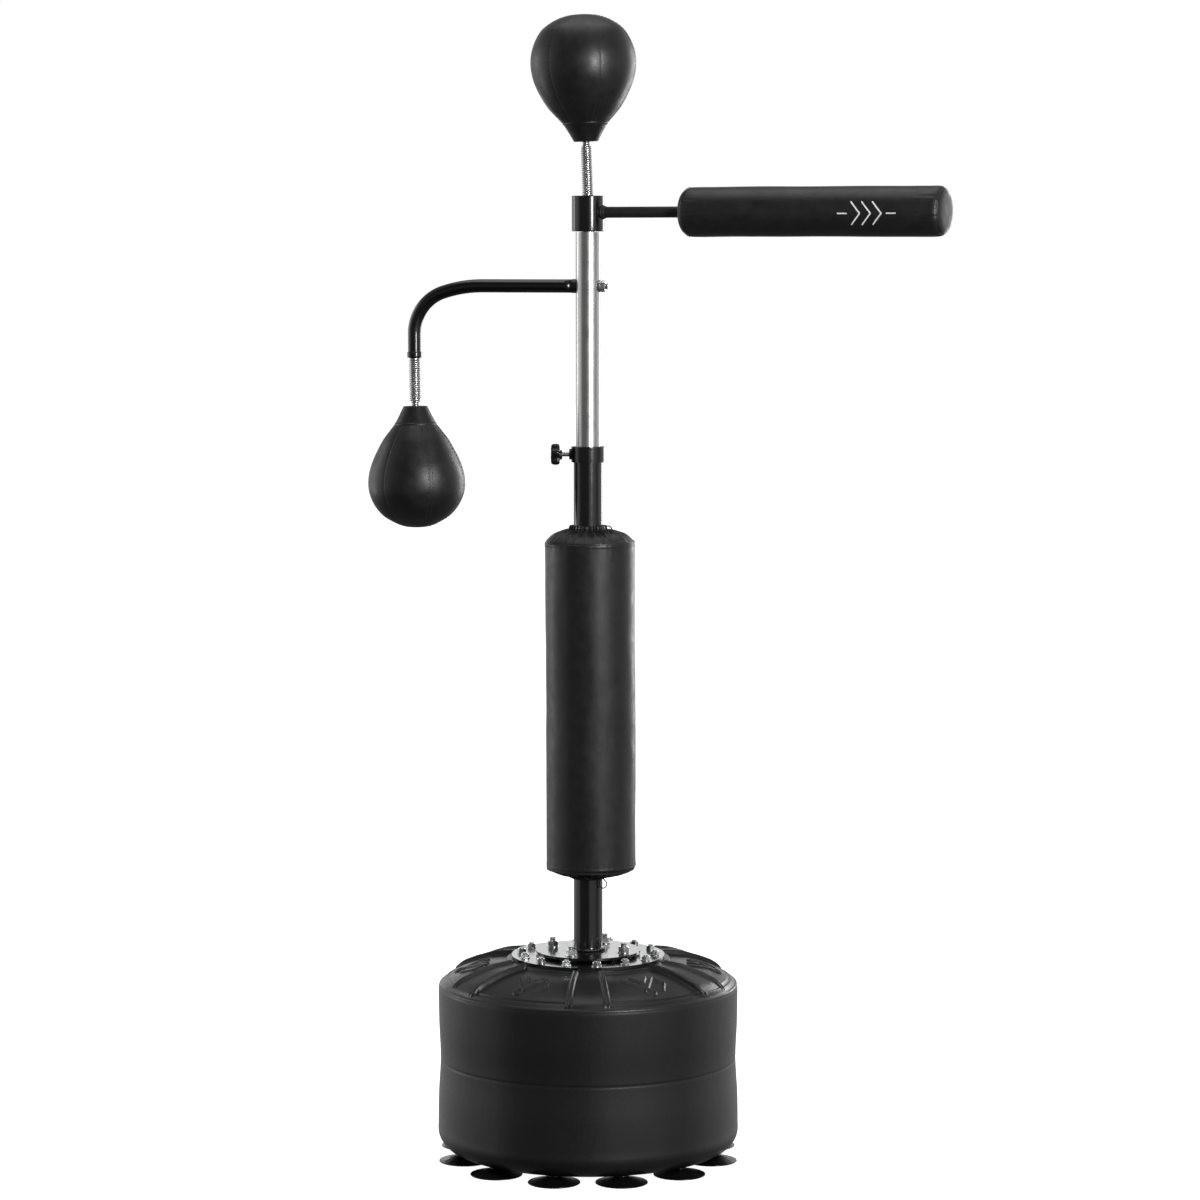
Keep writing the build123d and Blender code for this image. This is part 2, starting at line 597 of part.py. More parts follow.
def ball_body(widths, seat_z, sign, share=1.0, lift=0.0):
    """One ball as a smooth turned solid; sign is +1 above its seat and -1 below it."""
    points = [(radius * share, seat_z + sign * (height * share + lift)) for radius, height in widths]
    (before_r, before_z), (last_r, last_z) = points[-2:]
    side = Spline(*points, tangents=[(1, 0), (last_r - before_r, last_z - before_z)])
    seat = Line((last_r, last_z), (0, last_z))
    axis = Line((0, last_z), points[0])
    outline = Wire([curve.edges()[0] for curve in (side, seat, axis)])
    return revolve(make_face(Plane.XZ * outline), Axis.Z)


def ball_set(prefix, place, sign, seat_z, boot_z, boot_radii, widths):
    """Cover, bladder, boot and bolt of one ball; boot_radii are those at the spring and at the ball."""
    cover = ball_body(widths, seat_z, sign)
    inner = ball_body(widths, seat_z, sign, SKIN_SHARE, SKIN_LIFT)
    air = ball_body(widths, seat_z, sign, BLADDER_SHARE, BLADDER_LIFT)
    spring_r, seat_r = boot_radii
    bolt_low, bolt_high = sorted((boot_z + sign, boot_z + sign * (BOLT_LENGTH + 1)))
    boot = turned([(0, boot_z), (spring_r, boot_z), (spring_r + 2, boot_z + sign * 3), (seat_r, seat_z),
                   (0, seat_z)])
    boot -= tube(BOOT_BORE_R, 0, bolt_low, bolt_high)
    save(f"{prefix}_ball_cover", place * (cover - inner))
    save(f"{prefix}_ball_bladder", place * (inner - air))
    save(f"{prefix}_ball_boot", place * boot)
    save(f"{prefix}_ball_bolt", place * tube(BOLT_R, 0, bolt_low, bolt_high))


def leaning(x, y, z, degrees):
    """The place of a shape turned about a point, towards -X above it and +X below it, by so many degrees."""
    return Pos(x, y, z) * Rot(0, -degrees, 0) * Pos(0, 0, -z)


def ball_pieces():
    """Both spring sets; each hangs or stands a little out of plumb, as a soft spring does."""
    top_place = leaning(0, 0, TOP_SPRING_BOTTOM, SPRING_LEAN)
    save("top_spring", top_place * spring_coil(TOP_SPRING_BOTTOM, TOP_SPRING_TOP, TOP_SPRING_R, True))
    ball_set("top", top_place, 1, TOP_SEAT_Z, TOP_SPRING_TOP, (20.5, 37.5), TOP_BALL_WIDTHS)
    end_x, end_y, _ = arm_point(ARM_REACH, 0)
    side_place = Pos(0, 0, -SIDE_DROP) * leaning(end_x, end_y, SIDE_SPRING_TOP, SIDE_LEAN)
    save("side_spring", side_place * spring_coil(SIDE_SPRING_BOTTOM, SIDE_SPRING_TOP, SIDE_SPRING_R, False))
    ball_set("side", side_place, -1, SIDE_SEAT_Z, SIDE_SPRING_BOTTOM, (20.5, 35.5), SIDE_BALL_WIDTHS)


os.makedirs("parts", exist_ok=True)
base_pieces()
plate_pieces()
column_pieces()
bag_pieces()
string_tube("bag_top_string_tail", TAIL_ROUTE, bend_radii(TAIL_ROUTE))
string_tube("bag_bottom_string_loop", LOOP_ROUTE, bend_radii(LOOP_ROUTE))
mast_pieces()
side_arm_pieces()
bearing_pieces()
bar_pieces()
ball_pieces()
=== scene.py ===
"""Looks of the freestanding boxing stand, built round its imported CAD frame. Metres, +Z up."""
import json
import math

import bmesh
import bpy
from mathutils import Matrix, Vector, noise


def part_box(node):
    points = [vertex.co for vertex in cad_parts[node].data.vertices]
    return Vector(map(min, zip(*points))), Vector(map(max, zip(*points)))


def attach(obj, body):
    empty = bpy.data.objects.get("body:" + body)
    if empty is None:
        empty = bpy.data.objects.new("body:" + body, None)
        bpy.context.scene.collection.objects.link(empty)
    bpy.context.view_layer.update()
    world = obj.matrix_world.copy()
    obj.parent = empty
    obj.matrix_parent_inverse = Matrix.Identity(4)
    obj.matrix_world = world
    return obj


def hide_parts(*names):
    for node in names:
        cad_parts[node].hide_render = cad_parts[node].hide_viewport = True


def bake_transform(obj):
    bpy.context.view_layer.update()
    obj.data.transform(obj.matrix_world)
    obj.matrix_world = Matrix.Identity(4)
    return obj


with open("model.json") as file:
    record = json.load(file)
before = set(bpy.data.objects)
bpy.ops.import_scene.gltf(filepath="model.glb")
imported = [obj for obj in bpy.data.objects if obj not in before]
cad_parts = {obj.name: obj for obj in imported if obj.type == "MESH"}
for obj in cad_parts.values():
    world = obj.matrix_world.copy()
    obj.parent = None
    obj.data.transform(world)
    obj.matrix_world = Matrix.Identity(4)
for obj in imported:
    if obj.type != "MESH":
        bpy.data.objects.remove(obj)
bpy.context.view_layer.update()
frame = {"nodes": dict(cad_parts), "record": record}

MM = 0.001
TURN = 2 * math.pi

# ---- places, read from the frame ----


def middle(node):
    """Centre of a node's box."""
    low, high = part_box(node)
    return Vector([(a + b) / 2 for a, b in zip(low, high)])


def low_z(node):
    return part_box(node)[0][2]


def high_z(node):
    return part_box(node)[1][2]


ARM_TURN = math.radians(15)
BAR_TURN = math.radians(-25)
SIDE = middle("side_arm_cap")
ROD_Z = middle("bar_rod").z


# ---- mesh helpers ----

def smoothstep(low, high, value):
    """0 below low, 1 above high, smooth between."""
    t = min(1.0, max(0.0, (value - low) / (high - low)))
    return t * t * (3 - 2 * t)


def bell(distance, width):
    """A smooth bump of the given half width."""
    return math.exp(-((distance / width) ** 2))


def round_noise(angle, spread, height):
    """Smooth noise that closes on itself in a full turn."""
    return noise.noise(Vector((math.cos(angle) * spread, math.sin(angle) * spread, height)))


def radial(angle):
    return Vector((math.cos(angle), math.sin(angle), 0))


def in_metres(points):
    return [(r * MM, z * MM) for r, z in points]


def oval(radius, height, half_width, half_height, steps):
    """The outline of a bead of weld at a radius and height."""
    return [(radius + half_width * math.cos(a), height + half_height * math.sin(a))
            for a in (TURN * k / steps for k in range(steps))]


def make_object(name, points, faces, smooth=True):
    mesh = bpy.data.meshes.new(name)
    mesh.from_pydata([tuple(point) for point in points], [], faces)
    mesh.validate()
    mesh.update()
    for polygon in mesh.polygons:
        polygon.use_smooth = smooth
    piece = bpy.data.objects.new(name, mesh)
    bpy.context.scene.collection.objects.link(piece)
    return piece


def grid_object(name, rows, close_rows, smooth=True):
    """A surface of rows of points. Every row is a loop; with close_rows the last row meets the first.

    A row with one point is a pole.
    """
    points = []
    starts = []
    for row in rows:
        starts.append(len(points))
        points.extend(row)
    faces = []
    pairs = list(zip(range(len(rows)), range(1, len(rows))))
    if close_rows:
        pairs.append((len(rows) - 1, 0))
    for first, second in pairs:
        a, b = starts[first], starts[second]
        count = max(len(rows[first]), len(rows[second]))
        for index in range(count):
            after = (index + 1) % count
            if len(rows[first]) == 1:
                faces.append((a, b + after, b + index))
            elif len(rows[second]) == 1:
                faces.append((a + index, a + after, b))
            else:
                faces.append((a + index, a + after, b + after, b + index))
    return make_object(name, points, faces, smooth)


def lathe(name, outline, segments=96, shape=None, ring=False, matrix=None):
    """Turns (radius, height) points about Z. shape(angle, radius, height) may move each point."""
    rows = []
    for radius, height in outline:
        if radius < 1e-6:
            rows.append([Vector((0, 0, height))])
            continue
        row = []
        for index in range(segments):
            angle = TURN * index / segments
            r, z = shape(angle, radius, height) if shape else (radius, height)
            row.append(Vector((r * math.cos(angle), r * math.sin(angle), z)))
        rows.append(row)
    piece = grid_object(name, rows, ring)
    if matrix is not None:
        piece.data.transform(matrix)
    piece.data.update()
    fix_normals(piece)
    return piece


def fix_normals(piece):
    """Joins points that coincide and turns every face outward."""
    work = bmesh.new()
    work.from_mesh(piece.data)
    bmesh.ops.remove_doubles(work, verts=work.verts, dist=1e-6)
    bmesh.ops.recalc_face_normals(work, faces=work.faces)
    work.to_mesh(piece.data)
    work.free()


def rounded(points, radius, steps=4):
    """An outline of (r, z) points with each inner corner eased by an arc-like curve."""
    result = [points[0]]
    for before, corner, after in zip(points, points[1:], points[2:]):
        p, q, s = Vector(before), Vector(corner), Vector(after)
        ease = min(radius, (p - q).length * 0.45, (s - q).length * 0.45)
        start = q + (p - q).normalized() * ease
        end = q + (s - q).normalized() * ease
        for index in range(steps + 1):
            t = index / steps
            point = start * (1 - t) ** 2 + q * 2 * t * (1 - t) + end * t ** 2
            result.append((point.x, point.y))
    result.append(points[-1])
    return result


def flowing(points, steps=8):
    """A smooth curve through (r, z) points."""
    result = []
    padded = [points[0], *points, points[-1]]
    for a, b, c, d in zip(padded, padded[1:], padded[2:], padded[3:]):
        for index in range(steps):
            t = index / steps
            pair = []
            for axis in range(2):
                p0, p1, p2, p3 = a[axis], b[axis], c[axis], d[axis]
                pair.append(0.5 * (2 * p1 + (p2 - p0) * t + (2 * p0 - 5 * p1 + 4 * p2 - p3) * t * t
                                   + (3 * p1 - p0 - 3 * p2 + p3) * t ** 3))
            result.append(tuple(pair))
    result.append(points[-1])
    return result


def divided(points, step):
    """The same outline with extra points, no two further apart than step."""
    result = [points[0]]
    for a, b in zip(points, points[1:]):
        count = max(1, math.ceil(math.dist(a, b) / step))
        for index in range(1, count + 1):
            t = index / count
            result.append((a[0] + (b[0] - a[0]) * t, a[1] + (b[1] - a[1]) * t))
    return result


def swept(name, line, radius, sides=12, closed=False):
    """A round tube along a line of points; radius is a number or a function of the share along it."""
    rows = []
    count = len(line)
    up = Vector((0.13, 0.27, 0.95))
    for index, point in enumerate(line):
        before = line[(index - 1) % count] if closed or index else line[index]
        after = line[(index + 1) % count] if closed or index < count - 1 else line[index]
        along = (after - before).normalized()
        side = (up - along * up.dot(along)).normalized()
        other = along.cross(side)
        up = side
        size = radius(index / (count - 1)) if callable(radius) else radius
        rows.append([point + (side * math.cos(a) + other * math.sin(a)) * size
                     for a in (TURN * k / sides for k in range(sides))])
    if not closed:
        rows.insert(0, [line[0].copy()])
        rows.append([line[-1].copy()])
    piece = grid_object(name, rows, closed)
    fix_normals(piece)
    return piece


def joined(name, items):
    """One mesh made of several objects' meshes, which are then removed."""
    points = []
    faces = []
    for item in items:
        start = len(points)
        points.extend(vertex.co.copy() for vertex in item.data.vertices)
        faces.extend([tuple(start + v for v in polygon.vertices) for polygon in item.data.polygons])
        bpy.data.objects.remove(item)
    return make_object(name, points, faces)


def stitches(name, marks, length=3.2 * MM, thick=0.45 * MM):
    """A row of sewn stitches. Each mark is a place on the surface, a direction and an outward normal."""
    points = []
    faces = []
    sides = 6
    for place, along, outward in marks:
        along = along.normalized()
        across = along.cross(outward).normalized()
        start = len(points)
        profile = ((-0.5, -0.5, 0.3), (-0.3, 0.3, 0.9), (0.0, 0.55, 1.0), (0.3, 0.3, 0.9), (0.5, -0.5, 0.3))
        for share, lift, width in profile:
            centre = place + along * length * share + outward * thick * lift
            for k in range(sides):
                a = TURN * k / sides
                points.append(centre + (across * math.cos(a) + outward * math.sin(a)) * thick * width)
        for ring in range(len(profile) - 1):
            for k in range(sides):
                n = (k + 1) % sides
                a = start + ring * sides
                faces.append((a + k, a + n, a + sides + n, a + sides + k))
        faces.append(tuple(start + k for k in reversed(range(sides))))
        faces.append(tuple(start + (len(profile) - 1) * sides + k for k in range(sides)))
    piece = make_object(name, points, faces)
    fix_normals(piece)
    return piece


# ---- materials ----

def shader(name, color, roughness, metallic=0.0):
    """A new node material and its main parts."""
    made = bpy.data.materials.new(name)
    made.use_nodes = True
    made.diffuse_color = (*color, 1)
    nodes = made.node_tree.nodes
    principled = nodes["Principled BSDF"]
    principled.inputs["Base Color"].default_value = (*color, 1)
    principled.inputs["Roughness"].default_value = roughness
    principled.inputs["Metallic"].default_value = metallic
    return made, nodes, made.node_tree.links, principled


def texture(nodes, links, kind, scale, stretch=(1, 1, 1), **settings):
    """A procedural texture on object coordinates."""
    place = nodes.new("ShaderNodeTexCoord")
    mapping = nodes.new("ShaderNodeMapping")
    mapping.inputs["Scale"].default_value = stretch
    made = nodes.new(kind)
    made.inputs["Scale"].default_value = scale
    for key, value in settings.items():
        made.inputs[key].default_value = value
    links.new(place.outputs["Object"], mapping.inputs["Vector"])
    links.new(mapping.outputs["Vector"], made.inputs["Vector"])
    return made


def ranged(nodes, links, source, low, high, from_low=0.0, from_high=1.0):
    """Maps a value to a range."""
    made = nodes.new("ShaderNodeMapRange")
    made.inputs["From Min"].default_value = from_low
    made.inputs["From Max"].default_value = from_high
    made.inputs["To Min"].default_value = low
    made.inputs["To Max"].default_value = high
    links.new(source, made.inputs["Value"])
    return made.outputs["Result"]


def bump(nodes, links, principled, layers):
    """Adds bump layers of (height output, strength, distance)."""
    normal = None
    for height, strength, distance in layers:
        made = nodes.new("ShaderNodeBump")
        made.inputs["Strength"].default_value = strength
        made.inputs["Distance"].default_value = distance
        links.new(height, made.inputs["Height"])
        if normal is not None:
            links.new(normal, made.inputs["Normal"])
        normal = made.outputs["Normal"]
    links.new(normal, principled.inputs["Normal"])


def shade(color, share):
    return tuple(c * share for c in color)


def tint(nodes, links, principled, factor, low, high):
    """Varies the base colour between two colours."""
    mix = nodes.new("ShaderNodeMix")
    mix.data_type = "RGBA"
    mix.inputs["A"].default_value = (*low, 1)
    mix.inputs["B"].default_value = (*high, 1)
    links.new(factor, mix.inputs["Factor"])
    links.new(mix.outputs["Result"], principled.inputs["Base Color"])


def roughen(nodes, links, principled, factor, low, high, from_low, from_high):
    """Varies the roughness between two values."""
    links.new(ranged(nodes, links, factor, low, high, from_low, from_high), principled.inputs["Roughness"])


def leather(name, color=(0.0085, 0.0085, 0.0088), roughness=0.37):
    made, nodes, links, principled = shader(name, color, roughness)
    grain = texture(nodes, links, "ShaderNodeTexVoronoi", 720)
    pores = texture(nodes, links, "ShaderNodeTexNoise", 2600, Detail=4.0)
    folds = texture(nodes, links, "ShaderNodeTexNoise", 55, Detail=5.0, Roughness=0.6)
    bump(nodes, links, principled, [(grain.outputs["Distance"], 0.22, 0.0004),
                                    (pores.outputs["Fac"], 0.12, 0.0002),
                                    (folds.outputs["Fac"], 0.18, 0.0012)])
    roughen(nodes, links, principled, folds.outputs["Fac"], roughness - 0.05, roughness + 0.11, 0.3, 0.7)
    tint(nodes, links, principled, folds.outputs["Fac"], color, shade(color, 1.7))
    principled.inputs["Specular IOR Level"].default_value = 0.48
    return made


def polyethylene(name):
    made, nodes, links, principled = shader(name, (0.006, 0.006, 0.0063), 0.4)
    grain = texture(nodes, links, "ShaderNodeTexNoise", 1500, Detail=4.0)
    flow = texture(nodes, links, "ShaderNodeTexNoise", 16, (1, 1, 0.35), Detail=6.0, Roughness=0.65)
    scuffs = texture(nodes, links, "ShaderNodeTexNoise", 120, (1, 1, 3), Detail=8.0, Roughness=0.75)
    bump(nodes, links, principled, [(grain.outputs["Fac"], 0.2, 0.0003),
                                    (flow.outputs["Fac"], 0.25, 0.003)])
    roughen(nodes, links, principled, scuffs.outputs["Fac"], 0.28, 0.44, 0.35, 0.7)
    tint(nodes, links, principled, flow.outputs["Fac"], (0.0085, 0.0085, 0.0088), (0.015, 0.015, 0.0152))
    return made


def gloss_paint(name, roughness=0.16, coat=0.35, color=(0.004, 0.004, 0.0045)):
    made, nodes, links, principled = shader(name, color, roughness)
    peel = texture(nodes, links, "ShaderNodeTexNoise", 420, Detail=2.0)
    dust = texture(nodes, links, "ShaderNodeTexNoise", 90, Detail=8.0, Roughness=0.7)
    bump(nodes, links, principled, [(peel.outputs["Fac"], 0.1, 0.0004)])
    roughen(nodes, links, principled, dust.outputs["Fac"], roughness, roughness + 0.12, 0.45, 0.75)
    principled.inputs["Coat Weight"].default_value = coat
    principled.inputs["Coat Roughness"].default_value = 0.08
    return made


def polished_metal(name, color, roughness, grain_scale, stretch, edge=1.0):
    made, nodes, links, principled = shader(name, color, roughness, 1.0)
    principled.inputs["Specular Tint"].default_value = (edge, edge, edge, 1)
    lines = texture(nodes, links, "ShaderNodeTexNoise", grain_scale, stretch, Detail=5.0, Roughness=0.6)
    clouds = texture(nodes, links, "ShaderNodeTexNoise", 40, Detail=4.0)
    bump(nodes, links, principled, [(lines.outputs["Fac"], 0.06, 0.0002)])
    roughen(nodes, links, principled, clouds.outputs["Fac"], roughness, roughness + 0.1, 0.35, 0.75)
    tint(nodes, links, principled, lines.outputs["Fac"], shade(color, 0.9), color)
    return made


# A wave texture at scale 1 repeats after this many metres.
WAVE_PERIOD = math.pi / 10


def threaded_metal(name, pitch):
    """Zinc with a fine thread round the upright axis."""
    made, nodes, links, principled = shader(name, (0.46, 0.47, 0.48), 0.26, 1.0)
    thread = texture(nodes, links, "ShaderNodeTexWave", WAVE_PERIOD / pitch)
    thread.bands_direction = "Z"
    bump(nodes, links, principled, [(thread.outputs["Fac"], 0.8, 0.0006)])
    return made


def rubber(name, color=(0.0055, 0.0055, 0.0055), roughness=0.4):
    made, nodes, links, principled = shader(name, color, roughness)
    grain = texture(nodes, links, "ShaderNodeTexNoise", 900, Detail=5.0)
    bloom = texture(nodes, links, "ShaderNodeTexNoise", 70, Detail=6.0, Roughness=0.7)
    bump(nodes, links, principled, [(grain.outputs["Fac"], 0.15, 0.0003)])
    roughen(nodes, links, principled, bloom.outputs["Fac"], roughness - 0.06, roughness + 0.16, 0.35, 0.7)
    tint(nodes, links, principled, bloom.outputs["Fac"], color, shade(color, 1.8))
    return made


def moulded(name, color, roughness=0.34):
    made, nodes, links, principled = shader(name, color, roughness)
    grain = texture(nodes, links, "ShaderNodeTexNoise", 1800, Detail=3.0)
    cloud = texture(nodes, links, "ShaderNodeTexNoise", 60, Detail=4.0)
    bump(nodes, links, principled, [(grain.outputs["Fac"], 0.12, 0.0002)])
    tint(nodes, links, principled, cloud.outputs["Fac"], shade(color, 0.8), shade(color, 1.2))
    return made


def woven(name, color, sheen=0.15):
    """Braided cord or foam-like fabric."""
    made, nodes, links, principled = shader(name, color, 0.8)
    weave = texture(nodes, links, "ShaderNodeTexVoronoi", 1500)
    fuzz = texture(nodes, links, "ShaderNodeTexNoise", 900, Detail=6.0)
    bump(nodes, links, principled, [(weave.outputs["Distance"], 0.7, 0.0005),
                                    (fuzz.outputs["Fac"], 0.3, 0.0003)])
    tint(nodes, links, principled, fuzz.outputs["Fac"], shade(color, 0.6), shade(color, 1.4))
    principled.inputs["Sheen Weight"].default_value = sheen
    return made


LEATHER = leather("black leather")
TANK = polyethylene("tank polyethylene")
PAINT = gloss_paint("gloss black paint")
SATIN = gloss_paint("satin black paint", 0.45, 0.0, (0.013, 0.013, 0.0135))
CHROME = polished_metal("chrome", (0.63, 0.63, 0.625), 0.25, 900, (1, 1, 0.02), 0.55)
SPRING_STEEL = polished_metal("spring chrome", (0.86, 0.86, 0.86), 0.24, 500, (1, 1, 1), 0.15)
ZINC = polished_metal("bright zinc", (0.78, 0.79, 0.8), 0.2, 700, (1, 1, 1))
THREAD = threaded_metal("zinc thread", 1.25 * MM)
STEEL = polished_metal("ground steel", (0.56, 0.56, 0.57), 0.25, 900, (1, 1, 0.1))
RUBBER = rubber("black rubber")
CUP_RUBBER = rubber("suction cup rubber", (0.004, 0.004, 0.004), 0.24)
PLASTIC = moulded("black plastic", (0.007, 0.007, 0.007), 0.26)
NYLON = moulded("natural nylon", (0.62, 0.6, 0.55), 0.4)
LATEX = rubber("latex bladder", (0.06, 0.045, 0.04), 0.5)
FOAM = woven("grey foam", (0.2, 0.2, 0.21))
CORD = woven("black cord", (0.004, 0.004, 0.004), 0.0)
THREAD_YARN = woven("black yarn", (0.012, 0.012, 0.012))
PRINT = moulded("white print", (0.82, 0.82, 0.82), 0.5)


def dress(piece, made, body):
    """Gives a new piece its material and its body."""
    piece.data.materials.clear()
    piece.data.materials.append(made)
    if body:
        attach(piece, body)
    return piece


def dress_cad():
    """Better materials for the CAD pieces that stay."""
    looks = {
        "matte_plastic": NYLON, "rubber": RUBBER, "gloss_paint": PAINT, "zinc": ZINC, "chrome": CHROME,
        "steel": STEEL, "leather": LEATHER, "foam": FOAM, "bladder": LATEX, "plastic": PLASTIC,
        "nylon": NYLON, "cord": CORD, "tank": TANK,
    }
    slots = {row["node"]: row["material_slot"] for row in frame["record"]["subparts"]}
    special = {"plate_studs": THREAD, "flange_studs": THREAD, "cup_screws": THREAD, "bar_rod": SATIN}
    for node, piece in frame["nodes"].items():
        made = special.get(node, looks[slots[node]])
        for slot in piece.material_slots:
            slot.material = made


# ---- tank ----

TANK_R = (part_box("water_tank")[1][0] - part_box("water_tank")[0][0]) / 2
TANK_FLOOR = low_z("water_tank")
RIM_R = TANK_R - 6 * MM
RIM_Z = 291 * MM
FIELD_INNER = 136 * MM
FIELD_OUTER = 236 * MM
FIELD_DEPTH = 4.2 * MM
WAIST_Z = 165 * MM
CUPS = 12
CUP_CIRCLE_R = 211 * MM
GLYPH = [((-34, -20), (-6, 14)), ((-6, 14), (22, -20)), ((-16, -24), (-2, -6)), ((-2, -6), (12, -24)),
         ((20, 22), (34, 2)), ((34, 2), (24, -12))]


def distance_to_segment(x, y, segment):
    (ax, ay), (bx, by) = segment
    span = (bx - ax) ** 2 + (by - ay) ** 2
    t = min(1, max(0, ((x - ax) * (bx - ax) + (y - ay) * (by - ay)) / span))
    return math.hypot(x - ax - t * (bx - ax), y - ay - t * (by - ay))


def rib_inside(angle, radius):
    """Distance inside the edge of the nearest radial rib, in metres."""
    turned = (angle + math.pi / 2) % (math.pi / 3)
    if turned > math.pi / 6:
        turned -= math.pi / 3
    across = radius * math.sin(turned)
    half = 25 * MM + 11 * MM * (radius - 135 * MM) / (105 * MM)
    return half - abs(across)


def relief(angle, radius):
    """Height of the tank's top above its plain dome."""
    inside = rib_inside(angle, radius)
    in_field = smoothstep(0.6 * MM, -1.2 * MM, inside)
    in_field *= smoothstep(FIELD_INNER - 2 * MM, FIELD_INNER + 2 * MM, radius)
    in_field *= smoothstep(FIELD_OUTER + 2 * MM, FIELD_OUTER - 2 * MM, radius)
    height = -FIELD_DEPTH * in_field
    on_rib = smoothstep(-1 * MM, 1 * MM, inside) * smoothstep(RIM_R, RIM_R - 5 * MM, radius)
    panel = smoothstep(7.5 * MM, 9 * MM, inside) * smoothstep(RIM_R - 6 * MM, RIM_R - 8 * MM, radius)
    height += on_rib * (2.0 * MM - 2.0 * MM * panel)
    on_top = smoothstep(FIELD_INNER - 4 * MM, FIELD_INNER, radius)
    on_top *= smoothstep(RIM_R - 1 * MM, RIM_R - 4 * MM, radius)
    for line in (1.5 * MM, 8.5 * MM):
        height += 2.0 * MM * on_top * bell(inside - line, 1.5 * MM)
    height += 1.5 * MM * in_field * bell(radius - (FIELD_OUTER - 6 * MM), 1.3 * MM)
    if in_field > 0.5:
        field = (angle + math.pi / 2) % (math.pi / 3) - math.pi / 6
        x = radius * math.sin(field) / MM
        y = radius / MM - 190
        near = min(distance_to_segment(x, y, segment) for segment in GLYPH)
        ring = abs(math.hypot(x + 6, y - 24) - 8)
        height += 2.6 * MM * smoothstep(2.0, 1.3, min(near, ring))
    return height


def make_tank():
    foot_r = TANK_R - 34 * MM
    corner = [(foot_r + 34 * MM * math.sin(a), TANK_FLOOR + 34 * MM * (1 - math.cos(a)))
              for a in (math.pi / 2 * k / 10 for k in range(11))]
    wall = flowing([(TANK_R, 47 * MM), (TANK_R - 0.7 * MM, 105 * MM), (TANK_R - 3.6 * MM, WAIST_Z),
                    (TANK_R - 1.6 * MM, 225 * MM), (TANK_R - 1.2 * MM, 277 * MM)], 10)
    shoulder = flowing([(TANK_R - 1.2 * MM, 277 * MM), (TANK_R - 1.4 * MM, 286 * MM),
                        (TANK_R - 3 * MM, 290 * MM), (RIM_R, RIM_Z)], 5)
    dome = flowing([(RIM_R, RIM_Z), (223 * MM, 308 * MM), (180 * MM, 324 * MM), (150 * MM, 329.6 * MM),
                    (128 * MM, 331.9 * MM)], 8)
    outline = [(0, TANK_FLOOR), (foot_r * 0.5, TANK_FLOOR), *corner, *divided(wall, 3 * MM)[1:]]
    outline += shoulder[1:] + divided(dome, 1.2 * MM)[1:] + [(0, 331.9 * MM)]

    def shape(angle, radius, height):
        if height > RIM_Z - 0.1 * MM and radius > 130 * MM and radius < RIM_R + MM:
            return radius, height + relief(angle, radius)
        groove = 0.9 * MM * bell(height - WAIST_Z, 1.6 * MM) + 0.5 * MM * bell(height - 286 * MM, 1.2 * MM)
        sway = 0.6 * MM * round_noise(angle, 2, height * 9)
        on_wall = smoothstep(foot_r, foot_r + 20 * MM, radius) * smoothstep(40 * MM, 60 * MM, height)
        return radius + on_wall * (sway - 0.6 * MM) - groove, height

    tank = lathe("tank_shell", outline, 1200, shape)
    dress(tank, TANK, "base")
    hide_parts("water_tank")
    neck_top = low_z("filler_gasket") - 0.1 * MM
    neck = lathe("filler_neck", rounded([(15 * MM, 318 * MM), (19 * MM, 318 * MM), (19 * MM, neck_top),
                                         (15 * MM, neck_top), (15 * MM, 318 * MM)], 0.8 * MM), 64,
                 matrix=Matrix.Translation((0, middle("filler_cap").y, 0)))
    dress(neck, TANK, "base")


def make_cups():
    outline = [(0, 3.6), (12, 3.3), (30, 0.4), (38, 0), (42.2, 0.2), (42.5, 1.2), (41.5, 1.9), (36, 2.9),
               (28, 5.0), (20, 7.6), (14.5, 9.2), (12.6, 10.2), (11.2, 11.6), (11, 13)]
    outline = flowing(in_metres(outline), 3) + [(3 * MM, 13 * MM), (0, 13 * MM)]

    def shape(angle, radius, height):
        ridge = 0.35 * MM * max(0, math.cos(16 * angle)) * smoothstep(16 * MM, 24 * MM, radius)
        return radius, height + ridge * smoothstep(38 * MM, 34 * MM, radius) * (height > 2.5 * MM)

    cups = []
    for index in range(CUPS):
        place = Matrix.Translation(radial(TURN * (index + 0.5) / CUPS - math.pi / 2) * CUP_CIRCLE_R)
        cups.append(lathe(f"cup_{index}", outline, 96, shape, matrix=place))
    piece = joined("suction_cup_rubbers", cups)
    dress(piece, CUP_RUBBER, "base")
    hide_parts("suction_cups")


# ---- column foot and clamp ----

def make_weld_beads():
    """Rippled welds at the column's foot and round the bar rod's root."""
    foot_z = high_z("column_flange") - 6 * MM

    def ripple(angle, radius, height):
        wave = 0.5 * MM * math.sin(angle * 46) + 0.4 * MM * round_noise(angle, 4, 1)
        return radius + wave * smoothstep(24.2 * MM, 26 * MM, radius), height

    ring = oval(26.2 * MM, foot_z + 2.4 * MM, 2.6 * MM, 2.6 * MM, 12)
    bead = lathe("column_weld_bead", ring, 180, ripple, ring=True)
    dress(bead, PAINT, "base")
    root = oval(10.6 * MM, 26.8 * MM, 1.2 * MM, 1.1 * MM, 10)
    root_bead = lathe("rod_weld_bead", root, 90, ring=True, matrix=bar_matrix())
    dress(root_bead, SATIN, "spinner")


KNOB_X = -46 * MM


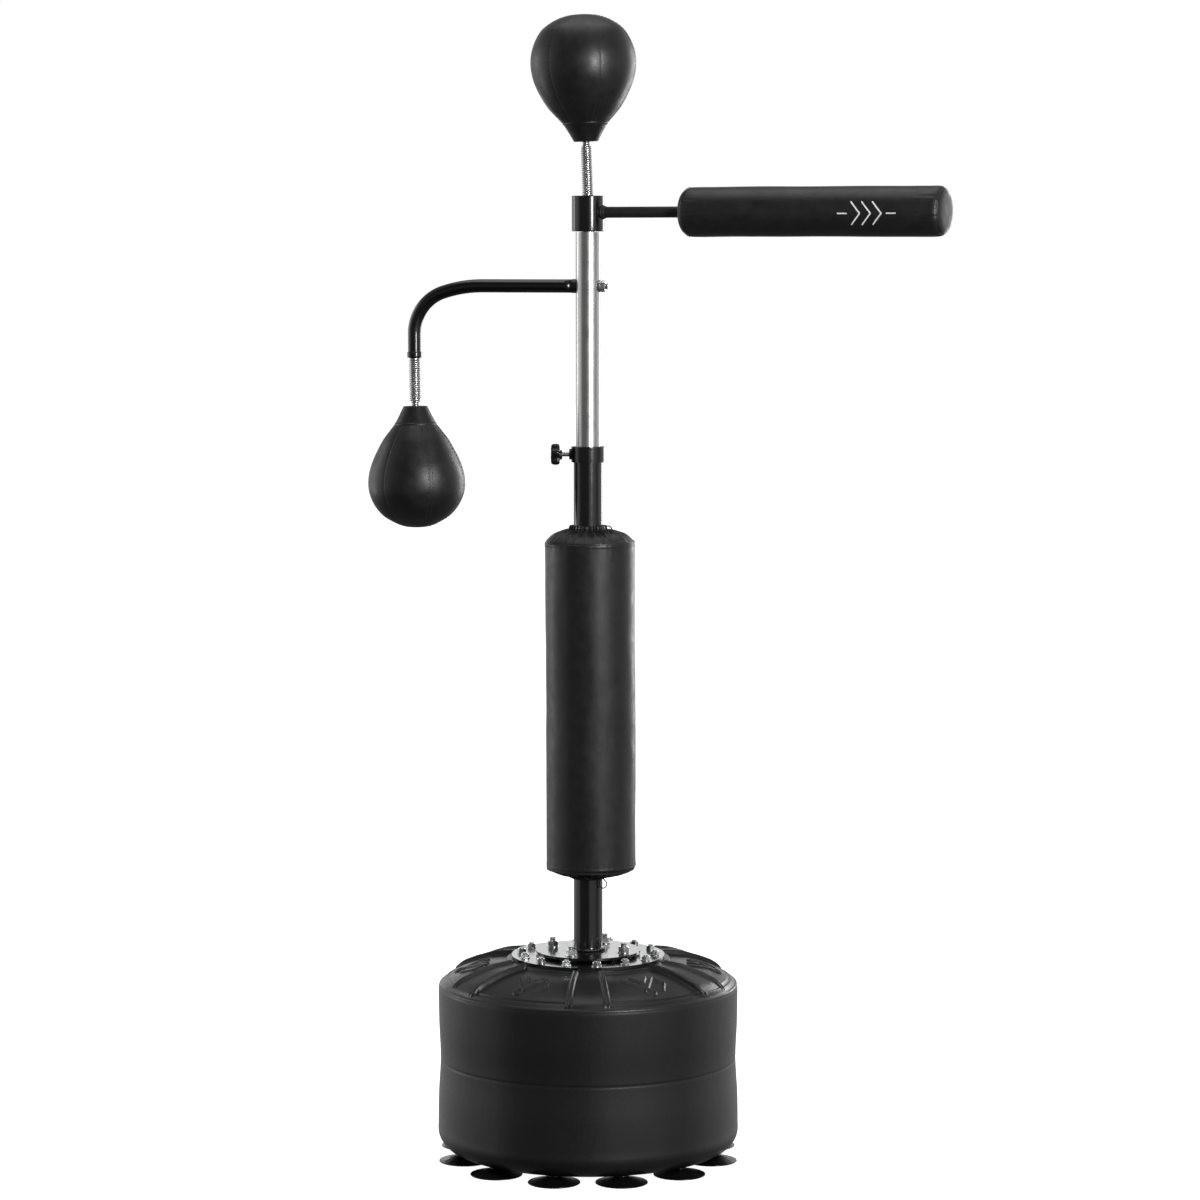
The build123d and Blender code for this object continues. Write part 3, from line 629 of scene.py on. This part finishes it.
def make_knob():
    """Five-lobed hand knob with a raised boss and eased edges."""
    outline = in_metres(rounded([(0, -3.9), (7.6, -3.9), (8, 0), (16, 0.4), (18.4, 3), (18.4, 11),
                                 (16, 14.6), (9, 15.4), (6, 14.2), (0, 14.2)], 1.8, 4))

    def shape(angle, radius, height):
        lobe = 0.5 + 0.5 * math.cos(5 * angle)
        cut = 5.2 * MM * (1 - lobe ** 0.6) * smoothstep(8.5 * MM, 15 * MM, radius)
        return radius - cut, height

    matrix = Matrix.Translation((KNOB_X, 0, middle("clamp_knob").z))
    matrix @= Matrix.Rotation(-math.pi / 2, 4, "Y")
    knob = lathe("clamp_hand_knob", outline, 160, shape, matrix=matrix)
    dress(knob, PLASTIC, "clamp_knob")
    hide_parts("clamp_knob")


# ---- bag ----

BAG_X = middle("bag_foam").x
BAG_R = (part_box("bag_cover")[1][1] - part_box("bag_cover")[0][1]) / 2
BAG_TOP = high_z("bag_cover")
BAG_BOTTOM = low_z("bag_cover")
BAG_BORE = 24.6 * MM
PLEATS = 30
SEAM_ANGLE = math.pi * 0.58
FOAM_GAP = 1.3 * MM


def bag_shift(height):
    """The bag hangs a little out of line with the column, and more so towards its foot."""
    return BAG_X + 2.4 * MM * ((BAG_TOP + BAG_BOTTOM) / 2 - height) / (BAG_TOP - BAG_BOTTOM)


def make_bag():
    """Sewn cover: a long sleeve, a raised seam at each end, and pleated ends drawn in round the column."""
    top = BAG_TOP
    low = BAG_BOTTOM
    r = BAG_R
    high_seam = top - 26 * MM
    low_seam = low + 20 * MM
    upper = [(29 * MM, top + 3 * MM), (30.5 * MM, top - 1 * MM), (31 * MM, top - 4 * MM)]
    upper = flowing(upper + [(44 * MM, top - 6.5 * MM), (60 * MM, top - 12 * MM), (70 * MM, top - 20 * MM),
                             (r - 0.8 * MM, high_seam + 1 * MM)], 7)
    lower = flowing([(r - 0.8 * MM, low_seam - 1 * MM), (69 * MM, low_seam - 7 * MM),
                     (56 * MM, low + 8 * MM), (42 * MM, low + 5 * MM), (31 * MM, low + 4 * MM),
                     (30 * MM, low)], 7)
    outer = divided(upper + [(r, high_seam - 0.6 * MM), (r, high_seam - 3 * MM), (r, low_seam + 3 * MM),
                             (r, low_seam + 0.6 * MM)] + lower, 3.2 * MM)
    inner = [(26.5 * MM, low + 0.5 * MM), (BAG_BORE, low + 16 * MM), (BAG_BORE, top - 16 * MM),
             (26.5 * MM, top + 2.5 * MM)]

    def shape(angle, radius, height):
        if radius < 29 * MM - 1e-6:
            return radius + 0.5 * MM * math.cos(PLEATS * angle) * (radius > 26 * MM), height
        at_end = max(smoothstep(high_seam - 1 * MM, high_seam + 4 * MM, height),
                     smoothstep(low_seam + 1 * MM, low_seam - 4 * MM, height))
        warp = 1.6 * round_noise(angle, 2.2, radius * 9)
        ridge = 1 - abs(math.sin(PLEATS / 2 * angle + warp))
        swell = 0.75 + 0.5 * round_noise(angle, 4, 7.3)
        depth = at_end * swell * (0.5 + 3.4 * smoothstep(r, 34 * MM, radius)) * MM
        soft = 1.1 * MM * round_noise(angle, 1.3, height * 6)
        near_seam = max(bell(height - high_seam, 14 * MM), bell(height - low_seam, 14 * MM))
        pucker = 0.12 * MM * near_seam * math.sin(PLEATS * angle + 3 * warp) * (1 - at_end)
        creases = 0.45 * MM * round_noise(angle, 3, height * 22)
        seam = 0.9 * MM * bell((angle - SEAM_ANGLE) * radius, 1.5 * MM)
        piping = 0.7 * MM * max(bell(height - high_seam + 0.2 * MM, 1.3 * MM),
                                bell(height - low_seam - 0.2 * MM, 1.3 * MM)) * (radius > r - 2 * MM)
        body = (1 - at_end) * (soft + creases - 0.6 * MM + pucker) - seam + piping
        sign = 1 if height > (top + low) / 2 else -1
        flat = smoothstep(30 * MM, 36 * MM, radius)
        lift = (ridge ** 1.4 - 0.45) * depth
        return radius + body + lift * (1 - 0.6 * flat), height + sign * lift * flat

    cover = lathe("bag_cover_leather", outer + inner, 520, shape, ring=True)
    for vertex in cover.data.vertices:
        distance = math.hypot(vertex.co.x, vertex.co.y)
        vertex.co.x += bag_shift(vertex.co.z) * smoothstep(BAG_BORE + 4 * MM, 60 * MM, distance)
        from_foam = math.hypot(vertex.co.x - BAG_X, vertex.co.y)
        if low + 14 * MM < vertex.co.z < top - 22 * MM and r - 9 * MM < from_foam < r - FOAM_GAP:
            push = (r - FOAM_GAP) / from_foam
            vertex.co.x = BAG_X + (vertex.co.x - BAG_X) * push
            vertex.co.y *= push
    dress(cover, LEATHER, "base")
    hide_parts("bag_cover")
    marks = []
    outward = radial(SEAM_ANGLE)
    side = Vector((-outward.y, outward.x, 0))
    height = low_seam + 6 * MM
    while height < high_seam - 5 * MM:
        for offset in (-4 * MM, 4 * MM):
            place = outward * (r - 0.55 * MM) + side * offset + Vector((bag_shift(height), 0, height))
            marks.append((place, Vector((0, 0, 1)), outward))
        height += 5.5 * MM
    for seam_z in (high_seam - 4.5 * MM, low_seam + 4.5 * MM):
        for index in range(84):
            angle = TURN * index / 84
            outward = radial(angle)
            place = outward * (r - 0.45 * MM) + Vector((bag_shift(seam_z), 0, seam_z))
            marks.append((place, Vector((-outward.y, outward.x, 0)), outward))
    dress(stitches("bag_seam_stitches", marks), THREAD_YARN, "base")


def twisted_ring(name, centre, radius, thick, node):
    """A drawstring pulled round the neck: two strands laid together."""
    strands = []
    count = 240
    for strand in range(2):
        line = []
        for index in range(count):
            angle = TURN * index / count
            lay = angle * 34 + math.pi * strand
            r = radius + 0.45 * thick * math.cos(lay)
            line.append(Vector((centre.x + r * math.cos(angle), centre.y + r * math.sin(angle),
                                centre.z + 0.45 * thick * math.sin(lay))))
        strands.append(swept(f"{name}_{strand}", line, thick * 0.55, 8, closed=True))
    ring = joined(name, strands)
    dress(ring, CORD, "base")
    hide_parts(node)


# Points of the two loose cord ends in millimetres, as in the CAD route.
TAIL_ROUTE = [(26.3, -6, 1049), (31, -9.5, 1050.5), (35.5, -14, 1050.5), (38.5, -19.5, 1048),
              (39.5, -25.5, 1044.5), (38.5, -31, 1041.5)]
LOOP_ROUTE = [(20.9, -16.3, 465), (18.1, -19.7, 459.9), (18.9, -20.2, 454), (22.8, -18.3, 450),
              (27.7, -15.1, 450.1), (31.1, -12.5, 454.3), (30.5, -10.9, 460.1), (24.6, -9.9, 465)]
CORD_WIDTH = 2 * MM
STRING_R = 26.5 * MM


def cord_curve(name, route, width):
    data = bpy.data.curves.new(name, "CURVE")
    data.dimensions = "3D"
    data.bevel_depth = width / 2
    data.bevel_resolution = 3
    data.use_fill_caps = True
    spline = data.splines.new("NURBS")
    spline.points.add(len(route) - 1)
    for point, (x, y, z) in zip(spline.points, route):
        point.co = (x * MM, y * MM, z * MM, 1)
    spline.order_u = 3
    spline.use_endpoint_u = True
    spline.resolution_u = 12
    piece = bpy.data.objects.new(name, data)
    bpy.context.scene.collection.objects.link(piece)
    data.materials.append(CORD)
    return piece


def make_cords():
    tail = cord_curve("bag_top_string_end", TAIL_ROUTE, CORD_WIDTH)
    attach(tail, "base")
    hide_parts("bag_top_string_tail")
    tip = Vector(TAIL_ROUTE[-1]) * MM
    way = (Vector(TAIL_ROUTE[-1]) - Vector(TAIL_ROUTE[-2])).normalized()
    knot = []
    for index in range(40):
        a = TURN * index / 40
        knot.append(tip + Vector((0.9 * math.cos(a) * (1 + 0.3 * math.cos(2 * a)), 0.9 * math.sin(2 * a),
                                  0.8 * math.sin(a))) * MM)
    knot_piece = swept("bag_top_string_knot", knot, 1.0 * MM, 8, closed=True)
    dress(knot_piece, CORD, "base")
    loop = cord_curve("bag_bottom_string_eye", LOOP_ROUTE, CORD_WIDTH)
    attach(loop, "base")
    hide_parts("bag_bottom_string_loop")


# ---- side arm ----

def arm_plane(reach, height):
    return Vector((-reach * math.cos(ARM_TURN), reach * math.sin(ARM_TURN), height))


def make_side_arm():
    """The tube with its gentle droop and long bend, and the ring cap at its end."""
    reach = math.hypot(SIDE.x, SIDE.y)
    height = middle("side_arm_nut").z
    droop = math.radians(18)
    gentle_r = 220 * MM
    bend_r = 72 * MM
    start = reach - gentle_r * math.sin(droop) - bend_r * (1 - math.sin(droop))
    line = [arm_plane(26 * MM + (start - 26 * MM) * k / 12, height) for k in range(12)]
    for k in range(11):
        a = droop * k / 10
        line.append(arm_plane(start + gentle_r * math.sin(a), height - gentle_r * (1 - math.cos(a))))
    gentle_end_z = height - gentle_r * (1 - math.cos(droop))
    for k in range(1, 25):
        a = droop + (math.pi / 2 - droop) * k / 24
        line.append(arm_plane(reach - bend_r + bend_r * math.sin(a),
                              gentle_end_z - bend_r * (math.cos(droop) - math.cos(a))))
    leg_top = line[-1].z
    end = low_z("side_arm_tube")
    line += [arm_plane(reach, leg_top + (end - leg_top) * k / 8) for k in range(1, 9)]
    arm = swept("side_arm_bent_tube", line, 11 * MM, 40)
    dress(arm, PAINT, "mast")
    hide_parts("side_arm_tube")
    cap_outline = rounded([(3, 0), (12, 0), (12.4, 2), (12.4, 8.6), (11, 10), (3, 10), (3, 0)], 0.9, 3)
    cap = lathe("side_arm_ring_cap", in_metres(cap_outline), 80,
                matrix=Matrix.Translation((SIDE.x, SIDE.y, SIDE_SPAN[1])))
    dress(cap, PAINT, "mast")
    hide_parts("side_arm_cap")


# ---- hub and bar ----

BAR_START = 172 * MM
BAR_END = 621.5 * MM
BAR_R = 40.5 * MM
BAR_SEAM = math.radians(100)


def bar_matrix():
    """Lays the Z axis along the bar."""
    turned = Matrix.Rotation(BAR_TURN, 4, "Z") @ Matrix.Rotation(math.pi / 2, 4, "Y")
    return Matrix.Translation((0, 0, ROD_Z)) @ turned


def make_hub():
    """Spinning sleeve with rolled edges, and the socket that the bar's rod is welded into."""
    low = low_z("hub_shell")
    high = high_z("hub_shell")
    outline = rounded([(18.5 * MM, low), (26.5 * MM, low), (26.5 * MM, high), (13 * MM, high),
                       (13 * MM, high - 2.5 * MM), (18 * MM, high - 4 * MM), (18 * MM, low + 4 * MM),
                       (18.5 * MM, low)], 1.6 * MM, 4)
    hub = lathe("hub_sleeve", outline, 120)
    collar = rounded([(9.1, 24), (11.6, 24), (11.2, 28), (10.2, 31), (9.5, 33), (9.1, 33.4), (9.1, 24)],
                     0.8, 4)
    socket = lathe("hub_rod_socket", in_metres(collar), 64, matrix=bar_matrix())
    dress(hub, PAINT, "spinner")
    dress(socket, SATIN, "spinner")
    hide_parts("hub_shell")


def make_bar_cover():
    """Sewn pad cover: a long tube closed by two end discs, with piped seams and soft wrinkles."""
    nip = 3.5 * MM
    start, end, r = BAR_START, BAR_END, BAR_R
    profile = [(9.2 * MM, start + 6 * MM), (9.2 * MM, start + 2 * MM), (20 * MM, start + 1.0 * MM),
               (r - 12 * MM, start), (r - 5.5 * MM, start + 3.2 * MM)]
    profile += [(r - 1.5 * MM, start + 9 * MM), (r, start + 20 * MM), (r, start + 60 * MM)]
    tail = [(r, end - 60 * MM), (r, end - 18 * MM), (r - 1.4 * MM, end - 9 * MM), (r - nip, end - 5 * MM),
            (r - 8 * MM, end - 2.2 * MM), (26 * MM, end - 0.6 * MM), (12 * MM, end), (0, end)]
    outline = divided(flowing(profile, 5) + flowing(tail, 5), 4 * MM)

    def shape(angle, radius, height):
        on_side = smoothstep(r - 8 * MM, r - 2 * MM, radius)
        near = min(height - start, end - height)
        pinch = smoothstep(70 * MM, 8 * MM, near) * on_side
        pucker = 0.55 * MM * pinch * round_noise(angle, 9, height * 30)
        soft = 0.9 * MM * on_side * round_noise(angle, 1.2, height * 8)
        gap = min(abs(height - start - 6 * MM), abs(end - 6 * MM - height))
        groove = 0.9 * MM * bell(gap, 1.0 * MM) * smoothstep(20 * MM, 30 * MM, radius)
        turned = abs((angle - BAR_SEAM + math.pi) % TURN - math.pi)
        seam = 0.8 * MM * bell(turned * radius, 1.3 * MM) * on_side
        return radius + pucker + soft - 0.5 * MM * on_side - groove - seam, height

    cover = lathe("bar_pad_cover", outline, 320, shape, matrix=bar_matrix())
    dress(cover, LEATHER, "spinner")
    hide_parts("bar_cover")
    marks = []
    matrix = bar_matrix()
    turn_only = matrix.to_3x3()
    for place, radius in ((start + 9 * MM, r - 1.1 * MM), (end - 9.5 * MM, r - 1.9 * MM)):
        for index in range(48):
            a = TURN * index / 48
            outward = radial(a)
            spot = outward * radius + Vector((0, 0, place))
            along = Vector((-math.sin(a), math.cos(a), 0))
            marks.append((matrix @ spot, turn_only @ along, turn_only @ outward))
    for side in (-3.6 * MM, 3.6 * MM):
        place = start + 14 * MM
        while place < end - 16 * MM:
            outward = radial(BAR_SEAM + side / r)
            marks.append((matrix @ (outward * (r - 0.5 * MM) + Vector((0, 0, place))),
                          turn_only @ Vector((0, 0, 1)), turn_only @ outward))
            place += 5.5 * MM
    dress(stitches("bar_cover_stitches", marks), THREAD_YARN, "spinner")


def make_bar_mark():
    """A generic printed mark: three chevrons between two short rules."""
    strokes = []
    for shift in (-18, 0, 18):
        strokes.append(((shift - 8, -19), (shift + 8, 0)))
        strokes.append(((shift + 8, 0), (shift - 8, 19)))
    strokes += [((-48, 0), (-32, 0)), ((34, 0), (50, 0))]
    points = []
    faces = []
    centre = 500 * MM
    half = 1.1 * MM
    matrix = bar_matrix()
    front = -math.pi / 2 + math.radians(5)
    for (ax, ay), (bx, by) in strokes:
        a = Vector((ax, ay)) * MM
        b = Vector((bx, by)) * MM
        across = Vector((-(b - a).y, (b - a).x)).normalized() * half
        steps = 10
        start = len(points)
        for index in range(steps + 1):
            spot = a + (b - a) * index / steps
            for corner in (spot - across, spot + across):
                for radius in (BAR_R - 0.9 * MM, BAR_R + 0.35 * MM):
                    angle = front + corner.y / BAR_R
                    points.append(matrix @ Vector((radius * math.cos(angle), radius * math.sin(angle),
                                                   centre + corner.x)))
        for index in range(steps):
            s = start + index * 4
            n = s + 4
            faces += [(s + 1, s + 3, n + 3, n + 1), (s, n, n + 2, s + 2), (s, s + 1, n + 1, n),
                      (s + 2, n + 2, n + 3, s + 3)]
        last = start + steps * 4
        faces += [(start, start + 2, start + 3, start + 1), (last, last + 1, last + 3, last + 2)]
    mark = make_object("bar_printed_mark", points, faces, smooth=False)
    fix_normals(mark)
    dress(mark, PRINT, "spinner")


# ---- springs and balls ----

COIL_PITCH = 3.5 * MM
WIRE_R = 1.45 * MM
NECK_R = 6 * MM
TOP_SPAN = (1590 * MM, 1678 * MM)
SIDE_SPAN = (1244 * MM, 1324 * MM)
TOP_SEAT = 1710 * MM
SIDE_SEAT = 1212 * MM
# Radius and height above the seat in millimetres, from the pole to just inside the boot.
TOP_BALL = [(0, 174), (24, 171.5), (46, 164), (68, 148), (82, 122), (86.5, 95), (81, 64), (63, 28), (44, 5),
            (36, -3)]
SIDE_BALL = [(0, 170), (20, 168), (39, 160.5), (59, 147), (74.5, 125), (81, 99), (76, 67), (58, 29), (43, 8),
             (34, -3)]
GORES = 6


def leaning(x, y, z, degrees):
    """The place of a shape turned about a point, towards -X above it and +X below it."""
    back = Matrix.Translation((0, 0, -z))
    return Matrix.Translation((x, y, z)) @ Matrix.Rotation(math.radians(-degrees), 4, "Y") @ back


def coil(name, low, high, radius_at, phase, closed_low=0, closed_high=0):
    """Part of a close-wound spring on the Z axis. A closed end adds one flat turn."""
    turns = (high - low) / COIL_PITCH
    steps = max(24, int(turns * 28))
    line = []
    for index in range(-28 * closed_low, steps + 1 + 28 * closed_high):
        share = min(1, max(0, index / steps))
        height = low + (high - low) * share
        angle = phase + TURN * turns * index / steps
        r = radius_at(height) - WIRE_R
        line.append(Vector((r * math.cos(angle), r * math.sin(angle), height)))
    return swept(name, line, WIRE_R, 10)


def make_spring(prefix, span, outer_r, ball_below, place):
    """A spring in two halves, both set in place by the same tilt."""
    low, high = span
    split = (low + high) / 2

    def radius_at(height):
        near_ball = (height - low) if ball_below else (high - height)
        return NECK_R + (outer_r - NECK_R) * smoothstep(5 * MM, 10 * MM, near_ball)

    lower = coil(f"{prefix}_lower_coils", low + WIRE_R, split, radius_at, 0.0, closed_low=1)
    turned = TURN * (split - low - WIRE_R) / COIL_PITCH
    upper = coil(f"{prefix}_upper_coils", split, high - WIRE_R, radius_at, turned, closed_high=1)
    for piece in (lower, upper):
        piece.data.transform(place)
        dress(piece, SPRING_STEEL, None)
        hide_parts(prefix)
    if ball_below:
        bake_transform(upper)
        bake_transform(lower)
    else:
        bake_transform(lower)
        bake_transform(upper)


def make_ball(prefix, place, seat, sign, widths, phase):
    """Sewn leather ball: gores with sunken seams and a row of stitches on both sides of each."""
    outline = divided(flowing([(r * MM, seat + sign * h * MM) for r, h in widths], 6), 3 * MM)

    def seam_distance(angle, radius):
        step = TURN / GORES
        turned = (angle - phase) % step
        return min(turned, step - turned) * radius

    def shape(angle, radius, height):
        away = seam_distance(angle, radius)
        span = math.pi / GORES * radius
        bulge = 0.9 * MM * math.cos(math.pi / 2 * (1 - away / span))
        groove = 0.5 * MM * bell(away, 0.9 * MM) * smoothstep(10 * MM, 30 * MM, radius)
        soft = 0.6 * MM * round_noise(angle, 2, height * 14)
        ease = smoothstep(10 * MM, 40 * MM, radius)
        return radius + ease * (bulge + soft - 0.7 * MM) - groove, height

    cover = lathe(f"{prefix}_ball_leather", outline + [(0, outline[-1][1])], 300, shape, matrix=place)
    body = f"{prefix}_ball"
    dress(cover, LEATHER, body)
    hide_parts(f"{prefix}_ball_cover")
    turn_only = place.to_3x3()
    marks = []
    for gore in range(GORES):
        for side in (-3.4 * MM, 3.4 * MM):
            travelled = 0.0
            for (r0, z0), (r1, z1) in zip(outline, outline[1:]):
                travelled += math.dist((r0, z0), (r1, z1))
                if travelled < 5 * MM or r1 < 22 * MM:
                    continue
                travelled = 0.0
                away = radial(phase + TURN * gore / GORES + side / r1)
                along = away * (r1 - r0) + Vector((0, 0, z1 - z0))
                outward = away * (z1 - z0) - Vector((0, 0, r1 - r0))
                if outward.dot(away) < 0:
                    outward = -outward
                spot = away * (r1 - 0.75 * MM) + Vector((0, 0, z1))
                marks.append((place @ spot, turn_only @ along, turn_only @ outward.normalized()))
    dress(stitches(f"{prefix}_ball_stitches", marks), THREAD_YARN, body)


def make_boot(prefix, place, seat, tip, sign, narrow, wide):
    """Rubber boot: a cone with a rolled lip at both ends."""
    span = seat - tip
    flare = wide - narrow
    base = [(6.5 * MM, tip), (narrow - 1 * MM, tip), (narrow, tip + span * 0.04),
            (narrow + flare * 0.42, tip + span * 0.45), (wide - 2.2 * MM, tip + span * 0.84),
            (wide - 0.6 * MM, tip + span * 0.88), (wide, tip + span * 0.95), (wide - 0.8 * MM, seat),
            (wide - 6 * MM, seat + sign * 1.0 * MM), (6.5 * MM, seat), (6.5 * MM, tip)]
    boot = lathe(f"{prefix}_ball_rubber_boot", rounded(base, 1.4 * MM, 4), 120, matrix=place)
    dress(boot, RUBBER, f"{prefix}_ball")
    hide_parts(f"{prefix}_ball_boot")


def make_balls():
    top = leaning(0, 0, TOP_SPAN[0], 2.0)
    side = leaning(SIDE.x, SIDE.y, SIDE_SPAN[1], 0.7)
    side.translation.z -= 0.3 * MM
    make_spring("top_spring", TOP_SPAN, 9 * MM, False, top)
    make_spring("side_spring", SIDE_SPAN, 9.4 * MM, True, side)
    make_ball("top", top, TOP_SEAT, 1, TOP_BALL, math.radians(-70))
    make_ball("side", side, SIDE_SEAT, -1, SIDE_BALL, math.radians(-70))
    make_boot("top", top, TOP_SEAT, TOP_SPAN[1], 1, 20.5 * MM, 37.5 * MM)
    make_boot("side", side, SIDE_SEAT, SIDE_SPAN[0], -1, 20.5 * MM, 35.5 * MM)


# ---- studio ----

# Brightness of the studio's walls by direction, in degrees from the viewer's side, rightwards positive.
BACK_LEVEL = 0.7
WALL_LEVELS = [(-148, BACK_LEVEL), (-130, 0.78), (-76, 0.78), (-62, 0.16), (4, 0.12), (12, 0.68),
               (58, 0.68), (68, 0.36), (84, 0.3), (96, 0.7), (125, 0.8), (148, BACK_LEVEL)]

CAMERA_PLACE = (0.0197, -6.285, 1.510)
CAMERA_PITCH = math.radians(5.296)
CAMERA_LENS = 36 * 3830 / 1200


def make_camera():
    data = bpy.data.cameras.new("view")
    data.lens = CAMERA_LENS
    data.sensor_width = 36
    camera = bpy.data.objects.new("view", data)
    camera.location = CAMERA_PLACE
    camera.rotation_euler = (math.pi / 2 - CAMERA_PITCH, 0, 0)
    bpy.context.scene.collection.objects.link(camera)
    bpy.context.scene.camera = camera


def area_light(name, place, target, size, energy, size_y=None):
    data = bpy.data.lights.new(name, "AREA")
    data.shape = "RECTANGLE"
    data.size = size
    data.size_y = size_y or size
    data.energy = energy
    lamp = bpy.data.objects.new(name, data)
    lamp.location = place
    lamp.rotation_euler = (Vector(target) - Vector(place)).to_track_quat("-Z", "Y").to_euler()
    bpy.context.scene.collection.objects.link(lamp)


def make_world():
    """A white backdrop. The object reflects a studio of bright walls with dark flags between them."""
    world = bpy.data.worlds.new("studio")
    world.use_nodes = True
    bpy.context.scene.world = world
    nodes = world.node_tree.nodes
    links = world.node_tree.links
    place = nodes.new("ShaderNodeTexCoord")
    parts = nodes.new("ShaderNodeSeparateXYZ")
    links.new(place.outputs["Generated"], parts.inputs["Vector"])
    front = nodes.new("ShaderNodeMath")
    front.operation = "MULTIPLY"
    front.inputs[1].default_value = -1
    links.new(parts.outputs["Y"], front.inputs[0])
    azimuth = nodes.new("ShaderNodeMath")
    azimuth.operation = "ARCTAN2"
    links.new(parts.outputs["X"], azimuth.inputs[0])
    links.new(front.outputs[0], azimuth.inputs[1])
    share = ranged(nodes, links, azimuth.outputs[0], 0, 1, -math.pi, math.pi)
    wall = nodes.new("ShaderNodeValToRGB")
    wall.color_ramp.elements.remove(wall.color_ramp.elements[1])
    wall.color_ramp.elements[0].position = 0.0
    wall.color_ramp.elements[0].color = (BACK_LEVEL, BACK_LEVEL, BACK_LEVEL, 1)
    for degrees, level in WALL_LEVELS:
        stop = wall.color_ramp.elements.new((degrees + 180) / 360)
        stop.color = (level, level, level, 1)
    links.new(share, wall.inputs["Fac"])
    above = ranged(nodes, links, parts.outputs["Z"], 1.0, 0.34, 0.14, 0.6)
    below = ranged(nodes, links, parts.outputs["Z"], 0.15, 1.0, -0.5, -0.05)
    strength = nodes.new("ShaderNodeMath")
    strength.operation = "MULTIPLY"
    links.new(above, strength.inputs[0])
    links.new(below, strength.inputs[1])
    links.new(wall.outputs["Color"], nodes["Background"].inputs["Color"])
    links.new(strength.outputs[0], nodes["Background"].inputs["Strength"])
    white = nodes.new("ShaderNodeBackground")
    white.inputs["Color"].default_value = (1, 1, 1, 1)
    seen = nodes.new("ShaderNodeLightPath")
    mix = nodes.new("ShaderNodeMixShader")
    links.new(seen.outputs["Is Camera Ray"], mix.inputs["Fac"])
    links.new(nodes["Background"].outputs["Background"], mix.inputs[1])
    links.new(white.outputs["Background"], mix.inputs[2])
    links.new(mix.outputs["Shader"], nodes["World Output"].inputs["Surface"])


def make_floor():
    """A pale floor that is bright enough to run into the white backdrop."""
    made, _, _, principled = shader("pale floor", (0.85, 0.85, 0.85), 0.7)
    principled.inputs["Emission Color"].default_value = (1, 1, 1, 1)
    principled.inputs["Emission Strength"].default_value = 0.96
    half = 30
    drop = -0.5 * MM
    corners = [(-half, -half, drop), (half, -half, drop), (half, half, drop), (-half, half, drop)]
    floor = make_object("floor", corners, [(0, 1, 2, 3)])
    floor.data.materials.append(made)
    floor.visible_diffuse = False
    floor.visible_glossy = False


def make_studio():
    bpy.context.scene.view_settings.view_transform = "Standard"
    make_world()
    make_floor()
    area_light("key", (1.55, -2.7, 1.9), (0, 0, 1.25), 0.6, 75, 1.5)
    area_light("left panel", (-2.9, 1.4, 1.4), (0, 0, 1.1), 1.0, 15, 2.6)
    area_light("right panel", (2.2, 3.0, 1.4), (0, 0, 1.1), 0.8, 40, 2.4)
    area_light("back wash", (-0.5, 3.4, 0.95), (0, 0, 0.32), 2.6, 5, 0.7)
    area_light("floor wash", (0, 0.4, 4.6), (0, 0, 0), 3.2, 40)


make_camera()
make_cords()
dress_cad()
make_tank()
make_cups()
make_weld_beads()
make_knob()
make_bag()
for end in ("top", "bottom"):
    node = f"bag_{end}_string"
    twisted_ring(f"bag_{end}_drawstring", middle(node), STRING_R, CORD_WIDTH / 2, node)
make_side_arm()
make_hub()
make_bar_cover()
make_bar_mark()
make_balls()
make_studio()
